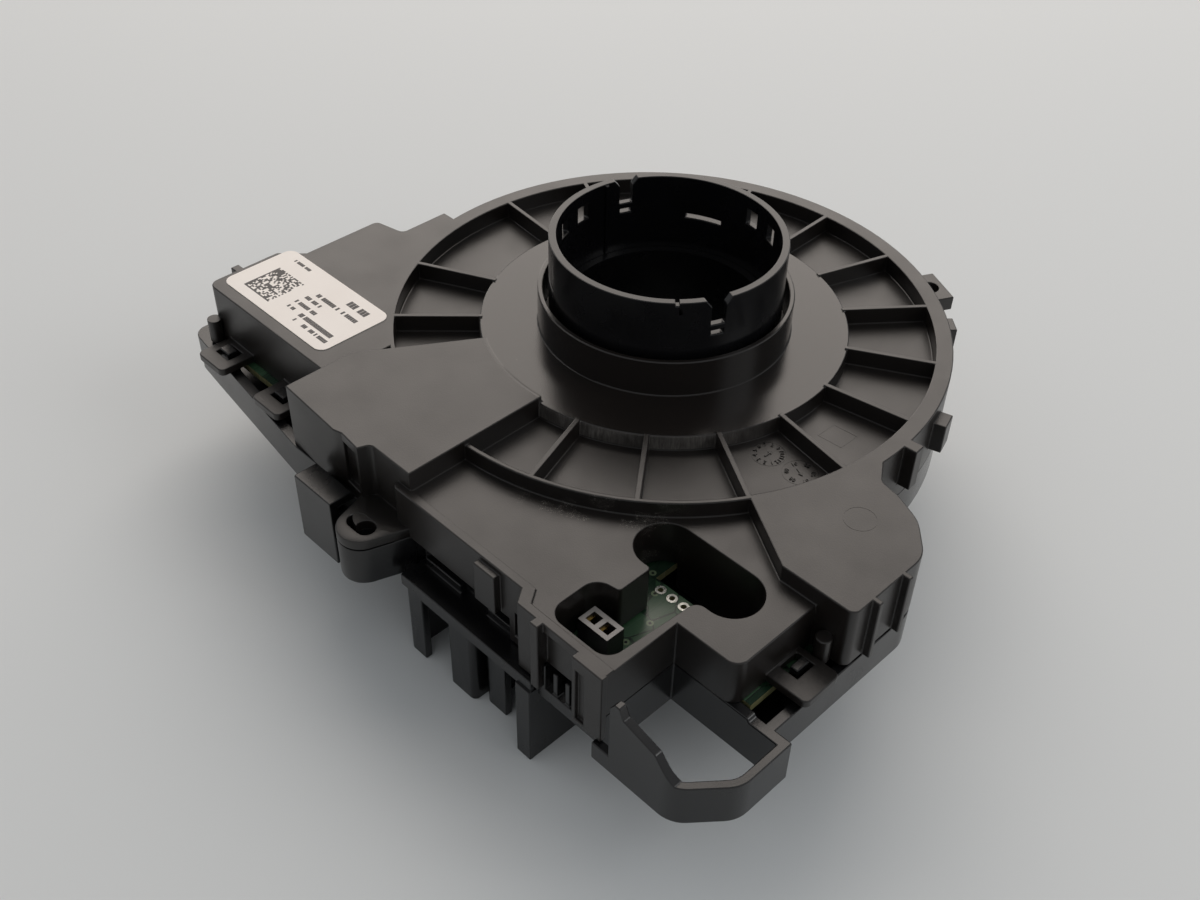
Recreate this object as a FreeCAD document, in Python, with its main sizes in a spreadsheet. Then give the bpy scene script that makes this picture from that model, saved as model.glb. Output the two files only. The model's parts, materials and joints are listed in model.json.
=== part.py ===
import FreeCAD, Part
import Sketcher
import math
import os
import re

# Steering angle sensor, millimetres. The origin is on the steering column's axis, on the flat ring
# (the plateau) round the collar of the upper cover. +Z points to the steering wheel, -Y to the plugs.

SIZES = {
    # Rotor tube that the steering wheel hub drives
    "tube_radius": 22.0, "tube_wall": 1.4, "tube_top": 18.5, "tube_foot": 9.0,
    "flange_reach": 3.4, "flange_thick": 2.2,
    "key_turn": -23.4, "key_width": 2.7, "key_drop": 5.2, "key_mouth": 4.8, "key_slope": 1.3,
    "key_sill": 0.9, "key_sill_drop": 6.4, "key_sill_width": 2.3,
    "nick_width": 0.7, "nick_drop": 0.6, "nick_turn": -43.0,
    "window_width": 3.0, "window_height": 3.2, "window_level": 14.3,
    "window_turn": 65.0, "window_step": 17.5, "window_count": 3,
    "slit_turn": 113.0, "slit_width": 7.4, "slit_height": 0.9, "slit_level": 10.6,
    "seam_turn": 168.5, "seam_width": 0.7, "seam_proud": 0.4,
    # Running and seating clearances
    "running_gap": 0.06, "axial_gap": 0.3, "seat_gap": 0.1, "tool_reach": 60.0,
    # Drive hub: inner sleeve with the drive gear
    "sleeve_wall": 1.6, "sleeve_top": 2.7, "sleeve_foot": 24.0, "clip_groove_deep": 0.8,
    "clip_groove_tall": 1.1, "clip_ring_reach": 2.6, "clip_ring_open": 7.0,
    # Gear train
    "gear_module": 0.75, "drive_teeth": 75, "gear_a_teeth": 26, "gear_b_teeth": 24,
    "gear_thick": 3.0, "gear_a_turn": -112.0, "gear_b_turn": -74.0, "tooth_backlash": 0.24,
    "gear_hub_radius": 3.7, "post_radius": 2.0, "post_length": 2.6,
    "tooth_rise": 1.0, "tooth_root": 1.25, "flank_slope": 0.4,
    "magnet_radius": 3.0, "magnet_thick": 2.0,
    # Upper cover: levels
    "rim_top": 0.3, "recess_depth": 3.1, "deck_depth": 2.8, "platform_top": 1.2, "plate_thick": 1.9,
    "skirt_depth": 12.0, "cover_wall": 1.9,
    # Upper cover: round part
    "collar_radius": 24.1, "collar_wall": 1.0, "collar_top": 7.4,
    "plateau_radius": 35.1, "ring_radius": 51.2, "rim_wall": 0.9, "disc_radius": 54.4,
    "band_start": -20.0, "band_sweep": 255.0, "relief_reach": 3.0,
    "rib_width": 0.9, "rib_pitch": 20.44, "rib_start": -153.7, "rib_count": 17, "rib_root": 0.5,
    # Upper cover: label block at the left
    "label_left": -68.0, "label_front": -57.2, "label_back": -37.0, "label_corner": 2.0,
    "label_chamfer": -41.3,
    "label_inner": -28.0, "shoulder_left": -63.9, "shoulder_back": -19.4, "shoulder_neck": -57.0,
    "shoulder_step": -18.0, "shoulder_end": -7.0, "shoulder_round": 1.4,
    "tab_left": -69.7, "tab_low": -51.0, "tab_high": -49.2,
    # Upper cover: raised platform
    "platform_left": -30.2, "platform_front": -65.3, "platform_right": 2.8, "platform_mid": -64.0,
    "flute_left": -14.9, "flute_kink": -13.1, "flute_right": -8.2, "flute_out": -66.3,
    "flute_inner": -65.8, "flute_bend": -7.3, "flute_round": 1.2, "flute_cut_left": -12.9,
    "flute_cut_right": -9.0, "flute_cut_back": -65.0, "flute_cut_top": 0.6, "flute_cut_low": 9.6,
    "platform_side": -51.0, "platform_arc": 34.4,
    "platform_tip_left": -16.4, "platform_tip_back": -29.0,
    # Upper cover: front deck
    "deck_left": -0.4, "deck_front": -65.4, "deck_jog": 31.8, "deck_jog_run": 1.8,
    "deck_step_front": -68.0, "cup_left": 53.0, "cup_back": -53.0, "deck_right": 65.2,
    "deck_corner": 1.2, "deck_side_round": 2.4, "border": 1.6, "border_rise": 0.4,
    "deck_inner_back": -40.0, "deck_inner_right": 40.0,
    "deck_inner_top": -24.0,
    # Upper cover: right lobe
    "lobe_front": -34.8, "lobe_right": 72.0, "lobe_back": -17.0, "lobe_tip": 58.0,
    "lobe_bend_out": 66.6, "lobe_bend_back": -11.0, "lobe_neck": 61.0, "lobe_neck_back": -8.6,
    "lobe_join": 57.0, "lobe_join_back": -7.8, "lobe_join_round": 2.0, "lobe_inner": 45.0,
    "lobe_end": -3.0, "lobe_meet": 53.8, "lobe_edge_x": 42.0, "lobe_edge_y": -25.2,
    "lobe_round": 1.5, "lobe_side_round": 6.0, "lobe_bend_round": 8.0,
    "fin_reach": 73.4, "fin_one": -30.4, "fin_two": -22.8, "fin_wide": 1.0,
    # Openings in the deck
    "slot_left": 35.4, "slot_right": 59.8, "slot_middle": -42.3, "slot_half": 5.25,
    "slot_round": 5.2, "well_wall": 1.3, "board_gap": 0.4,
    "pocket_left": 37.9, "pocket_right": 50.8, "pocket_front": -65.7, "pocket_back": -55.4,
    "pocket_round": 3.0, "neck_left": 42.4, "neck_low": -54.6, "neck_right": 52.0,
    "neck_round": 0.8, "neck_side_round": 1.8,
    "slot_back_left": 38.9, "slot_back_right": 59.9, "slot_back_deep": 17.5,
    # Clip tabs of the cover
    "clip_level": 10.0, "clip_thick": 1.5, "clip_window": 4.0,
    "clip_right_out": 73.2, "clip_right_low": -45.8, "clip_right_high": -37.5, "clip_right_long": 3.4,
    "clip_right_gap": 0.5, "clip_right_shift": 0.7, "clip_round": 1.2,
    "clip_left_out": -64.7, "clip_left_one": -63.2, "clip_left_two": -44.8, "clip_left_width": 8.3,
    "dome_radius": 1.4, "dome_right_x": 68.2, "dome_right_y": -36.0, "dome_left_x": -66.2,
    "dome_left_y": -58.3, "dome_top": 6.6, "dome_foot": 11.6,
    # Screw ears
    "ear_x": -3.0, "ear_y": -70.5, "ear_radius": 4.4, "ear_root_left": -9.8, "ear_root_right": 4.4,
    "ear_root": -62.6, "ear_tip": -76.9, "ear_top": 10.0, "ear_parting": 12.0, "ear_hole": 1.75,
    "ear_hole_slide": 1.2, "ear_hole_round": 1.7,
    "lug_turn": 63.0, "lug_gap": 60.0, "lug_count": 2, "lug_reach": 60.6, "lug_hole": 1.75,
    "lug_width": 9.0, "lug_level": 4.0, "lug_thick": 3.0, "lug_hole_reach": 57.6,
    "snap_turn": 17.0, "snap_gap": 31.0, "snap_count": 2, "snap_reach": 56.8, "snap_width": 4.0,
    "snap_top": 2.4, "snap_deep": 8.4, "side_tab_turn": 3.6, "side_tab_wide": 2.4,
    # Front wall of the cover
    "catch_left": 21.7, "catch_right": 26.7, "catch_top": 3.4, "catch_deep": 11.6, "catch_proud": 1.3,
    "rib_tab_left": 46.9, "rib_tab_right": 53.2, "rib_tab_deep": 17.0, "rib_tab_proud": 1.2,
    "groove_left": 47.7, "groove_right": 49.5, "groove_top": 5.0, "groove_low": 16.4,
    "groove_deep": 0.7, "stile_left": 37.7, "stile_right": 39.4,
    "panel_left": 28.6, "panel_deep": 17.0, "panel_thick": 1.5,
    "slit_left": 30.0, "slit_right": 30.5, "slit_top": 9.6, "slit_low": 15.0,
    "hatch_left": 39.8, "hatch_right": 46.4, "hatch_top": 4.2, "hatch_low": 17.4, "hatch_deep": 0.9,
    "hatch_post_one": 41.2, "hatch_post_two": 43.9, "hatch_post_wide": 1.0, "hatch_post_back": -66.4,
    "hatch_post_top": 12.6,
    # Lower case
    "floor_depth": 20.0, "floor_thick": 2.0, "case_wall": 1.9, "case_disc_radius": 54.4,
    "case_left": -72.4, "case_left_back": -36.0, "case_corner_front": -60.2,
    "case_slope_x": -63.8, "case_slope_y": -61.4, "case_slope_end": -29.2, "case_slope_low": -65.9,
    "case_front_left": -9.5, "case_front": -63.0, "case_step": 38.0, "case_step_front": -68.0,
    "case_right": 72.0, "case_inner_back": -8.3, "case_neck": 60.0,
    "ledge_one_left": 6.0, "ledge_one_right": 15.2, "ledge_two_left": 22.0, "ledge_two_right": 28.4,
    "ledge_top": 15.6, "ledge_proud": 1.4,
    "front_flange_left": 4.7, "front_flange_right": 37.4, "front_flange_out": -69.0,
    "front_flange_top": 17.3, "front_flange_foot": 19.6,
    "column_sleeve_radius": 29.0, "column_sleeve_wall": 2.2, "rest_depth": 37.0,
    "bearing_wall": 2.1, "bearing_gap": 0.3,
    "case_corner_round": 3.0, "catch_over": 0.8, "catch_gap": 0.5,
    "boss_one_x": -61.0, "boss_one_y": -46.0, "boss_two_x": -25.0, "boss_two_y": -43.0,
    "boss_three_x": 32.0, "boss_three_y": -50.0, "boss_four_x": 62.0, "boss_four_y": -27.0,
    "boss_radius": 3.4, "boss_hole": 0.9, "screw_head": 2.7, "screw_head_tall": 1.4,
    "screw_length": 5.0, "screw_slot": 1.2, "screw_slot_deep": 0.8, "board_hole": 1.5,
    # Plug shrouds under the flange
    "shroud_wall": 1.4, "shroud_roof": 1.6, "shroud_round": 1.2,
    "shroud_a_left": 4.1, "shroud_a_right": 21.8, "shroud_a_front": -68.0, "shroud_a_back": -54.0,
    "shroud_a_gap_left": 8.6, "shroud_a_gap_right": 15.7,
    "shroud_b_left": 22.7, "shroud_b_right": 37.5, "shroud_b_front": -66.2, "shroud_b_back": -52.6,
    "shroud_b_gap_left": 27.9, "shroud_b_gap_right": 34.2, "latch_gap_top": 22.0,
    "guide_left": 34.2, "guide_right": 37.5, "guide_front": -69.4,
    "pin_side": 0.64, "pin_pitch": 2.54, "pin_foot": 33.0, "pin_setback": 2.9, "pin_rows": 2,
    "pin_count": 4,

    # Open socket at the lower right corner
    "cup_out_left": 55.6, "cup_front": -69.9, "cup_bend": 68.6, "cup_right": 75.2, "cup_bend_y": -62.2,
    "cup_seam": 72.0, "cup_wall": 1.5, "cup_round": 5.5, "cup_rim": 4.4, "cup_foot": 21.0,
    "cup_rim_start": 5.9, "cup_tip_left": 56.6, "cup_tip_right": 57.6, "cup_step_x": 58.4,
    "cup_rim_step": 6.3, "cup_rim_mid": 8.1, "cup_rim_low": 12.6, "cup_rim_x": 64.8,
    "cup_slope_x": 68.4, "cup_gap_low": 17.3,
    # Hook bracket beside the ear
    "hook_left": -20.0, "hook_right": -9.6, "hook_front": -72.2, "hook_back": -65.0,
    "hook_lip": -67.4, "hook_top": 9.0, "hook_foot": 23.4, "hook_wall": 1.7,
    # Circuit board
    "board_top": 12.0, "board_thick": 1.6, "board_bore": 31.2, "board_left": -65.6,
    "board_front_left": -58.6, "board_front": -60.6, "board_step": 40.4, "board_step_front": -63.0,
    "board_cup_x": 50.6, "board_cup_y": -50.6, "board_right": 66.6, "board_back_right": -20.0,
    "board_ear_x": 47.0, "board_ear_y": -14.0, "board_left_back": -39.0, "board_shoulder": -59.4,
    "board_shoulder_y": -30.0, "board_turn_left": -26.0,
    "board_cut_left": 38.6, "board_cut_right": 60.2, "board_cut_front": -41.9, "board_cut_back": -35.2,
    # Parts on the board
    "chip_tall": 0.95, "sensor_side": 4.4, "controller_side": 9.0, "driver_long": 5.0,
    "driver_wide": 4.0, "lead_wide": 0.4, "lead_long": 1.0, "lead_tall": 0.5, "lead_pitch": 1.0,
    "controller_x": -40.0, "controller_y": -48.0, "controller_leads": 7,
    "driver_x": -18.0, "driver_y": -52.0, "driver_leads": 4,
    "regulator_x": 24.0, "regulator_y": -52.5, "regulator_long": 6.5, "regulator_wide": 6.0,
    "regulator_tall": 2.2, "regulator_leads": 3,
    "capacitor_x": -2.0, "capacitor_y": -55.0, "capacitor_step": 4.2, "capacitor_count": 4,
    "capacitor_long": 3.2, "capacitor_wide": 1.6, "capacitor_tall": 1.3,
    "socket_left": 39.3, "socket_right": 45.7, "socket_front": -60.5, "socket_back": -56.8,
    "socket_top": 7.0, "socket_hole": 2.0, "socket_hole_gap": 0.9, "socket_floor": 1.4,
    "contact_wall": 0.3, "contact_drop": 0.9,
    "pad_first_x": 41.1, "pad_y": -43.4, "pad_pitch": 2.54, "pad_count": 3, "pad_radius": 0.95,
    "pad_hole": 0.5, "pad_thick": 0.12,
    # Paper label
    "paper_left": -67.0, "paper_right": -34.9, "paper_front": -54.6, "paper_back": -38.3,
    "paper_round": 2.0, "paper_thick": 0.12,
}

doc = FreeCAD.newDocument("SteeringAngleSensor")
sheet = doc.addObject("Spreadsheet::Sheet", "Sheet")
PIECES = []


def fill_sheet():
    for row, (alias, value) in enumerate(SIZES.items(), start=1):
        sheet.set(f"A{row}", alias.replace("_", " "))
        sheet.set(f"B{row}", str(value))
        sheet.setAlias(f"B{row}", alias)
    doc.recompute()


# An expression is a sum of sizes, plain numbers and their products, such as "a - 0.5*b".
def amount(text):
    total = 0.0
    for sign, item in re.findall(r"([+-]?)\s*([\w.*]+)", text):
        product = -1.0 if sign == "-" else 1.0
        for factor in item.split("*"):
            product *= SIZES[factor] if factor in SIZES else float(factor)
        total += product
    return total


def bind(thing, path, text):
    linked = re.sub(r"[a-z]\w+", lambda found: "Sheet." + found.group(0), text)
    thing.setExpression(path, linked)


def origin_part(body, role):
    return next(part for part in body.Origin.OriginFeatures if part.Role == role)


def new_body(name):
    body = doc.addObject("PartDesign::Body", name)
    body.Label = name
    PIECES.append(body)
    return body


def new_sketch(body, name, level, plane="XY_Plane", turn=None):
    sketch = body.newObject("Sketcher::SketchObject", name)
    sketch.AttachmentSupport = [(origin_part(body, plane), "")]
    sketch.MapMode = "FlatFace"
    bind(sketch, "AttachmentOffset.Base.z", level)
    if turn:
        bind(sketch, "AttachmentOffset.Rotation.Angle", turn)
    return sketch


def hold(sketch, kind, places, text):
    number = sketch.addConstraint(Sketcher.Constraint(kind, *places, amount(text)))
    bind(sketch, f"Constraints[{number}]", text)


def hold_point(sketch, geometry, end, x_text, y_text):
    hold(sketch, "DistanceX", (-1, 1, geometry, end), x_text)
    hold(sketch, "DistanceY", (-1, 1, geometry, end), y_text)


def add_circle(sketch, radius, centre=("0", "0")):
    middle = FreeCAD.Vector(amount(centre[0]), amount(centre[1]), 0)
    circle = sketch.addGeometry(Part.Circle(middle, FreeCAD.Vector(0, 0, 1), amount(radius)), False)
    hold_point(sketch, circle, 3, *centre)
    hold(sketch, "Radius", (circle,), radius)


def corner_arc(before, corner, after, radius):
    back = (before - corner).normalize()
    ahead = (after - corner).normalize()
    half = back.getAngle(ahead) / 2
    reach = radius / math.tan(half)
    middle = corner + (back + ahead).normalize() * (radius / math.sin(half))
    return corner + back * reach, middle, corner + ahead * reach


# Corners are (x, y) or (x, y, radius), each an expression. A rounded corner keeps its sharp point as
# a construction point, so that the two sides stay where they are when the radius changes.
def add_outline(sketch, corners):
    points = [FreeCAD.Vector(amount(corner[0]), amount(corner[1]), 0) for corner in corners]
    count = len(points)
    arcs = {}
    for index, corner in enumerate(corners):
        if len(corner) > 2:
            neighbours = points[index - 1], points[index], points[(index + 1) % count]
            arcs[index] = corner_arc(*neighbours, amount(corner[2]))
    lines = []
    for index in range(count):
        following = (index + 1) % count
        start = arcs[index][2] if index in arcs else points[index]
        end = arcs[following][0] if following in arcs else points[following]
        lines.append(sketch.addGeometry(Part.LineSegment(start, end), False))
    for index, corner in enumerate(corners):
        before, after = lines[index - 1], lines[index]
        if index in arcs:
            round_corner(sketch, before, after, points[index], arcs[index], corner)
        else:
            sketch.addConstraint(Sketcher.Constraint("Coincident", before, 2, after, 1))
            hold_point(sketch, after, 1, corner[0], corner[1])


def round_corner(sketch, before, after, point, arc, corner):
    start, middle, end = arc
    first, last = start - middle, end - middle
    leftward = first.cross(last).z > 0
    if not leftward:
        first, last = last, first
    angles = math.atan2(first.y, first.x), math.atan2(last.y, last.x)
    circle = Part.Circle(middle, FreeCAD.Vector(0, 0, 1), first.Length)
    bend = sketch.addGeometry(Part.ArcOfCircle(circle, *angles), False)
    apex = sketch.addGeometry(Part.Point(point), True)
    enter, leave = (1, 2) if leftward else (2, 1)
    sketch.addConstraint(Sketcher.Constraint("Tangent", before, 2, bend, enter))
    sketch.addConstraint(Sketcher.Constraint("Tangent", bend, leave, after, 1))
    sketch.addConstraint(Sketcher.Constraint("PointOnObject", apex, 1, before))
    sketch.addConstraint(Sketcher.Constraint("PointOnObject", apex, 1, after))
    hold_point(sketch, apex, 1, corner[0], corner[1])
    hold(sketch, "Radius", (bend,), corner[2])


def rectangle(left, front, right, back, radius=None):
    corners = [(left, front), (right, front), (right, back), (left, back)]
    return [corner + (radius,) for corner in corners] if radius else corners


def outline(body, name, level, corners, *more, **placing):
    sketch = new_sketch(body, name, level, **placing)
    for loop in (corners,) + more:
        add_outline(sketch, loop)
    return sketch


def circles(body, name, level, radii, centre=("0", "0"), **placing):
    sketch = new_sketch(body, name, level, **placing)
    for radius in radii:
        add_circle(sketch, radius, centre)
    return sketch


def pad(body, sketch, length, midplane=False):
    feature = body.newObject("PartDesign::Pad", sketch.Name + "Pad")
    feature.Profile = sketch
    feature.Midplane = midplane
    bind(feature, "Length", length)
    return feature


# The cut runs down from the sketch, or up where upward is set.
def pocket(body, sketch, depth, upward=False, midplane=False):
    feature = body.newObject("PartDesign::Pocket", sketch.Name + "Pocket")
    feature.Profile = sketch
    feature.Reversed = upward
    feature.Midplane = midplane
    bind(feature, "Length", depth)
    return feature


# Copies of features round the column axis, one every pitch degrees.
def around(body, name, features, count, sweep):
    pattern = body.newObject("PartDesign::PolarPattern", name)
    pattern.Originals = features
    pattern.Axis = (origin_part(body, "Z_Axis"), [""])
    bind(pattern, "Angle", sweep)
    bind(pattern, "Occurrences", count)
    body.Tip = pattern
    return pattern


def label_corners(inset="0*plate_thick"):
    return [
        (f"label_left + {inset}", f"label_front + {inset}", "label_corner"),
        ("label_inner", f"label_front + {inset}"),
        ("label_inner", "label_back"),
        ("-lobe_inner", "shoulder_end"),
        (f"shoulder_neck + {inset}", f"shoulder_end - {inset}"),
        (f"shoulder_neck + {inset}", f"shoulder_step - {inset}", "shoulder_round"),
        (f"shoulder_left + {inset}", f"shoulder_back - {inset}", "shoulder_round"),
        (f"shoulder_left + {inset}", f"label_back - 0.4*{inset}"),
        (f"label_left + {inset}", f"label_chamfer - 0.4*{inset}"),
    ]


def platform_corners(inset="0*plate_thick"):
    return [
        (f"platform_left + {inset}", f"platform_front + {inset}"),
        ("flute_left", f"flute_out + {inset}"),
        ("flute_kink", f"flute_inner + {inset}"),
        ("flute_right", f"flute_out + {inset}"),
        ("flute_bend", f"platform_mid + {inset}", "flute_round"),
        (f"platform_right - {inset}", f"platform_mid + {inset}"),
        (f"platform_right - {inset}", "platform_tip_back"),
        ("platform_tip_left", "platform_tip_back"),
        (f"platform_left + {inset}", "platform_side"),
    ]


def deck_corners(inset="0*plate_thick"):
    return [
        (f"deck_left + {inset}", f"deck_front + {inset}", "deck_corner"),
        (f"deck_jog + {inset}", f"deck_front + {inset}"),
        (f"deck_jog + deck_jog_run + {inset}", f"deck_step_front + {inset}"),
        (f"cup_left - {inset}", f"deck_step_front + {inset}"),
        (f"cup_left - {inset}", f"cup_back + {inset}"),
        (f"deck_right - {inset}", f"cup_back + {inset}", "deck_side_round"),
        (f"deck_right - {inset}", "lobe_front"),
        ("deck_inner_right", "deck_inner_top"),
        (f"deck_left + {inset}", "deck_inner_back"),
    ]


# The sunk floor of the deck leaves a low border along its left and front edges.
def deck_floor_corners():
    return [
        ("deck_left + border", "deck_front + border"),
        ("deck_jog + border", "deck_front + border"),
        ("deck_jog + deck_jog_run + border", "deck_step_front + border"),
        ("cup_left + border", "deck_step_front + border"),
        ("cup_left + border", "cup_back - border"),
        ("deck_right + border", "cup_back - border"),
        ("deck_right + border", "lobe_front"),
        ("lobe_tip", "lobe_front"),
        ("lobe_edge_x", "lobe_edge_y"),
        ("deck_left + border", "deck_inner_back"),
    ]


def lobe_corners(inset="0*plate_thick"):
    return [
        ("lobe_edge_x", f"lobe_edge_y + {inset}"),
        ("lobe_tip", f"lobe_front + {inset}"),
        (f"lobe_right - {inset}", f"lobe_front + {inset}", "lobe_round"),
        (f"lobe_right - {inset}", f"lobe_back - {inset}", "lobe_side_round"),
        (f"lobe_bend_out - {inset}", f"lobe_bend_back - {inset}", "lobe_bend_round"),
        (f"lobe_neck - {inset}", f"lobe_neck_back - {inset}"),
        (f"lobe_join - {inset}", f"lobe_join_back - {inset}", "lobe_join_round"),
        (f"lobe_meet - {inset}", "lobe_end"),
        ("lobe_inner", "lobe_end"),
    ]


# Each block of the cover is a prism from the parting line up to its own level. The two tall blocks
# are hollowed first, so that the disc and its recess floor stay whole where they meet them.
def cover_blocks(body):
    low = "-skirt_depth"
    tall = "skirt_depth + rim_top"
    pad(body, outline(body, "SideBlocks", low, label_corners(), lobe_corners()), tall)
    hollows = outline(body, "SideHollows", low, label_corners("cover_wall"), lobe_corners("cover_wall"))
    pocket(body, hollows, tall + " - plate_thick", True)
    pad(body, outline(body, "Deck", low, deck_corners()), "skirt_depth - deck_depth + border_rise")
    floor = outline(body, "DeckFloor", "-deck_depth + border_rise", deck_floor_corners())
    pocket(body, floor, "border_rise")
    pad(body, circles(body, "Disc", low, ["ring_radius + rim_wall"]), tall)
    pad(body, band_sector(body, low, "disc_radius"), tall)


# A wide rim runs round the sides and the back; at the front the rim is a thin wall beside the deck.
def band_sector(body, level, radius):
    sketch = new_sketch(body, "Band", level, turn="band_start")
    half = math.radians(amount("band_sweep"))
    circle = Part.Circle(FreeCAD.Vector(0, 0, 0), FreeCAD.Vector(0, 0, 1), amount(radius))
    arc = sketch.addGeometry(Part.ArcOfCircle(circle, 0, half), False)
    origin = FreeCAD.Vector(0, 0, 0)
    first = FreeCAD.Vector(amount(radius), 0, 0)
    last = FreeCAD.Vector(math.cos(half), math.sin(half), 0) * amount(radius)
    start_side = sketch.addGeometry(Part.LineSegment(origin, first), False)
    end_side = sketch.addGeometry(Part.LineSegment(last, origin), False)
    sketch.addConstraint(Sketcher.Constraint("Coincident", start_side, 2, arc, 1))
    sketch.addConstraint(Sketcher.Constraint("Coincident", arc, 2, end_side, 1))
    sketch.addConstraint(Sketcher.Constraint("Coincident", end_side, 2, -1, 1))
    sketch.addConstraint(Sketcher.Constraint("Coincident", start_side, 1, -1, 1))
    sketch.addConstraint(Sketcher.Constraint("Coincident", arc, 3, -1, 1))
    sketch.addConstraint(Sketcher.Constraint("Horizontal", start_side))
    hold(sketch, "Radius", (arc,), radius)
    angle = sketch.addConstraint(Sketcher.Constraint("Angle", arc, half))
    bind(sketch, f"Constraints[{angle}]", "band_sweep")
    return sketch


def cover_recess(body):
    ring = circles(body, "Recess", "rim_top", ["plateau_radius", "ring_radius"])
    pocket(body, ring, "rim_top + recess_depth")
    plateau = circles(body, "Plateau", "rim_top", ["plateau_radius"])
    pocket(body, plateau, "rim_top")


def cover_ribs(body):
    corners = rectangle("plateau_radius - rib_root", "-0.5*rib_width",
                        "ring_radius + rib_root", "0.5*rib_width")
    rib = outline(body, "Rib", "-recess_depth", corners, turn="rib_start")
    first = pad(body, rib, "recess_depth + rim_top")
    around(body, "Ribs", [first], "rib_count", "rib_pitch*rib_count - rib_pitch")


def cover_platform(body):
    low = "-skirt_depth"
    pad(body, outline(body, "Platform", low, platform_corners()), "skirt_depth + platform_top")
    arc = circles(body, "PlatformArc", "platform_top", ["platform_arc"])
    pocket(body, arc, "platform_top")


# A flute in the platform's front wall leaves its top edge overhanging.
def cover_flute(body):
    flute = rectangle("flute_cut_left", "flute_out - border", "flute_cut_right", "flute_cut_back")
    pocket(body, outline(body, "Flute", "-flute_cut_top", flute), "flute_cut_low - flute_cut_top")


def cover_collar(body):
    pad(body, circles(body, "Collar", "-plate_thick", ["collar_radius"]), "plate_thick + collar_top")


# Under the recess floor the cover is one open space, which holds the gears and the board.
def cover_hollow(body):
    low = "-skirt_depth"
    shallow = "skirt_depth - recess_depth - plate_thick"
    inset = "cover_wall"
    pocket(body, circles(body, "DiscHollow", low, ["disc_radius - cover_wall"]), shallow, True)
    for name, corners in (("Deck", deck_corners), ("Platform", platform_corners),
                          ("Label", label_corners), ("Lobe", lobe_corners)):
        pocket(body, outline(body, name + "Hollow", low, corners(inset)), shallow, True)
    relief = circles(body, "PlateauRelief", "-recess_depth - plate_thick",
                     ["tube_radius + flange_reach + relief_reach", "plateau_radius - cover_wall"])
    pocket(body, relief, "recess_depth", True)


# One opening: a slot with round ends, a neck and the pocket round the small receptacle.
def opening_corners(grow="0*well_wall"):
    front = f"slot_middle - slot_half - {grow}"
    back = f"slot_middle + slot_half + {grow}"
    end = f"slot_round + 0.5*{grow}"
    return [
        (f"pocket_left - {grow}", f"pocket_front - 0.5*{grow}", f"pocket_round + {grow}"),
        (f"pocket_right + 0.7*{grow}", f"pocket_front - 0.5*{grow}", f"pocket_round + 0.5*{grow}"),
        (f"neck_right + 0.7*{grow}", front, "neck_side_round"),
        (f"slot_right + {grow}", front, end),
        (f"slot_right + {grow}", back, end),
        (f"slot_left - {grow}", back, end),
        (f"slot_left - {grow}", front, end),
        (f"neck_left - {grow}", front, "neck_round"),
        (f"neck_left - {grow}", f"neck_low + {grow}", "neck_round"),
        (f"pocket_left - {grow}", f"pocket_back + {grow}", f"pocket_round + 0.5*{grow}"),
    ]


# The opening has a wall down to the board, and the wall behind its slot passes the board's edge.
def cover_openings(body):
    well = outline(body, "Well", "-board_top + board_gap", opening_corners("well_wall"))
    pad(body, well, "board_top - board_gap - deck_depth")
    back = rectangle("slot_back_left", "slot_middle + slot_half", "slot_back_right",
                     "slot_middle + slot_half + well_wall")
    pad(body, outline(body, "SlotBack", "-slot_back_deep", back), "slot_back_deep - board_top + 2*board_gap")
    pocket(body, outline(body, "Opening", "rim_top", opening_corners()), "board_top + rim_top")


def cover_bore(body):
    bore = circles(body, "Bore", "collar_top", ["tube_radius + running_gap"])
    pocket(body, bore, "collar_top + skirt_depth")
    counter = circles(body, "CollarBore", "collar_top", ["collar_radius - collar_wall"])
    pocket(body, counter, "collar_top")


# A clip tab is a flat plate with a window that the lower case's catch snaps into.
def right_clip():
    middle = "0.5*clip_right_low + 0.5*clip_right_high + clip_right_shift"
    plate = rectangle("deck_right - cover_wall", "clip_right_low", "clip_right_out", "clip_right_high",
                      "clip_round")
    window = rectangle("deck_right + clip_right_gap", f"{middle} - 0.5*clip_window",
                       "deck_right + clip_right_gap + clip_right_long", f"{middle} + 0.5*clip_window")
    return plate, window


def left_clip(left):
    middle = f"{left} + 0.5*clip_left_width"
    plate = rectangle(left, "clip_left_out", f"{left} + clip_left_width", "label_front + cover_wall",
                      "clip_round")
    window = rectangle(f"{middle} - 0.5*clip_window", "label_front - well_wall - 0.8*clip_window",
                       f"{middle} + 0.5*clip_window", "label_front - well_wall")
    return plate, window


def cover_clips(body):
    pairs = (right_clip(), left_clip("clip_left_one"), left_clip("clip_left_two"))
    low = "-clip_level - clip_thick"
    pad(body, outline(body, "Clips", low, *[plate for plate, window in pairs]), "clip_thick")
    windows = outline(body, "ClipWindows", "-clip_level", *[window for plate, window in pairs])
    pocket(body, windows, "clip_thick")
    domes = new_sketch(body, "Domes", "-dome_foot")
    for side in ("dome_left", "dome_right"):
        add_circle(domes, "dome_radius", (f"{side}_x", f"{side}_y"))
    pad(body, domes, "dome_foot - dome_top")


def ear_corners():
    return [("ear_root_left", "ear_root"), ("ear_x", "ear_tip", "ear_radius"),
            ("ear_root_right", "ear_root")]


def ear_hole_corners():
    side = "ear_hole + ear_hole_slide"
    return rectangle(f"ear_x - {side}", "ear_y - ear_hole", f"ear_x + {side}", "ear_y + ear_hole",
                     "ear_hole_round")


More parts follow.
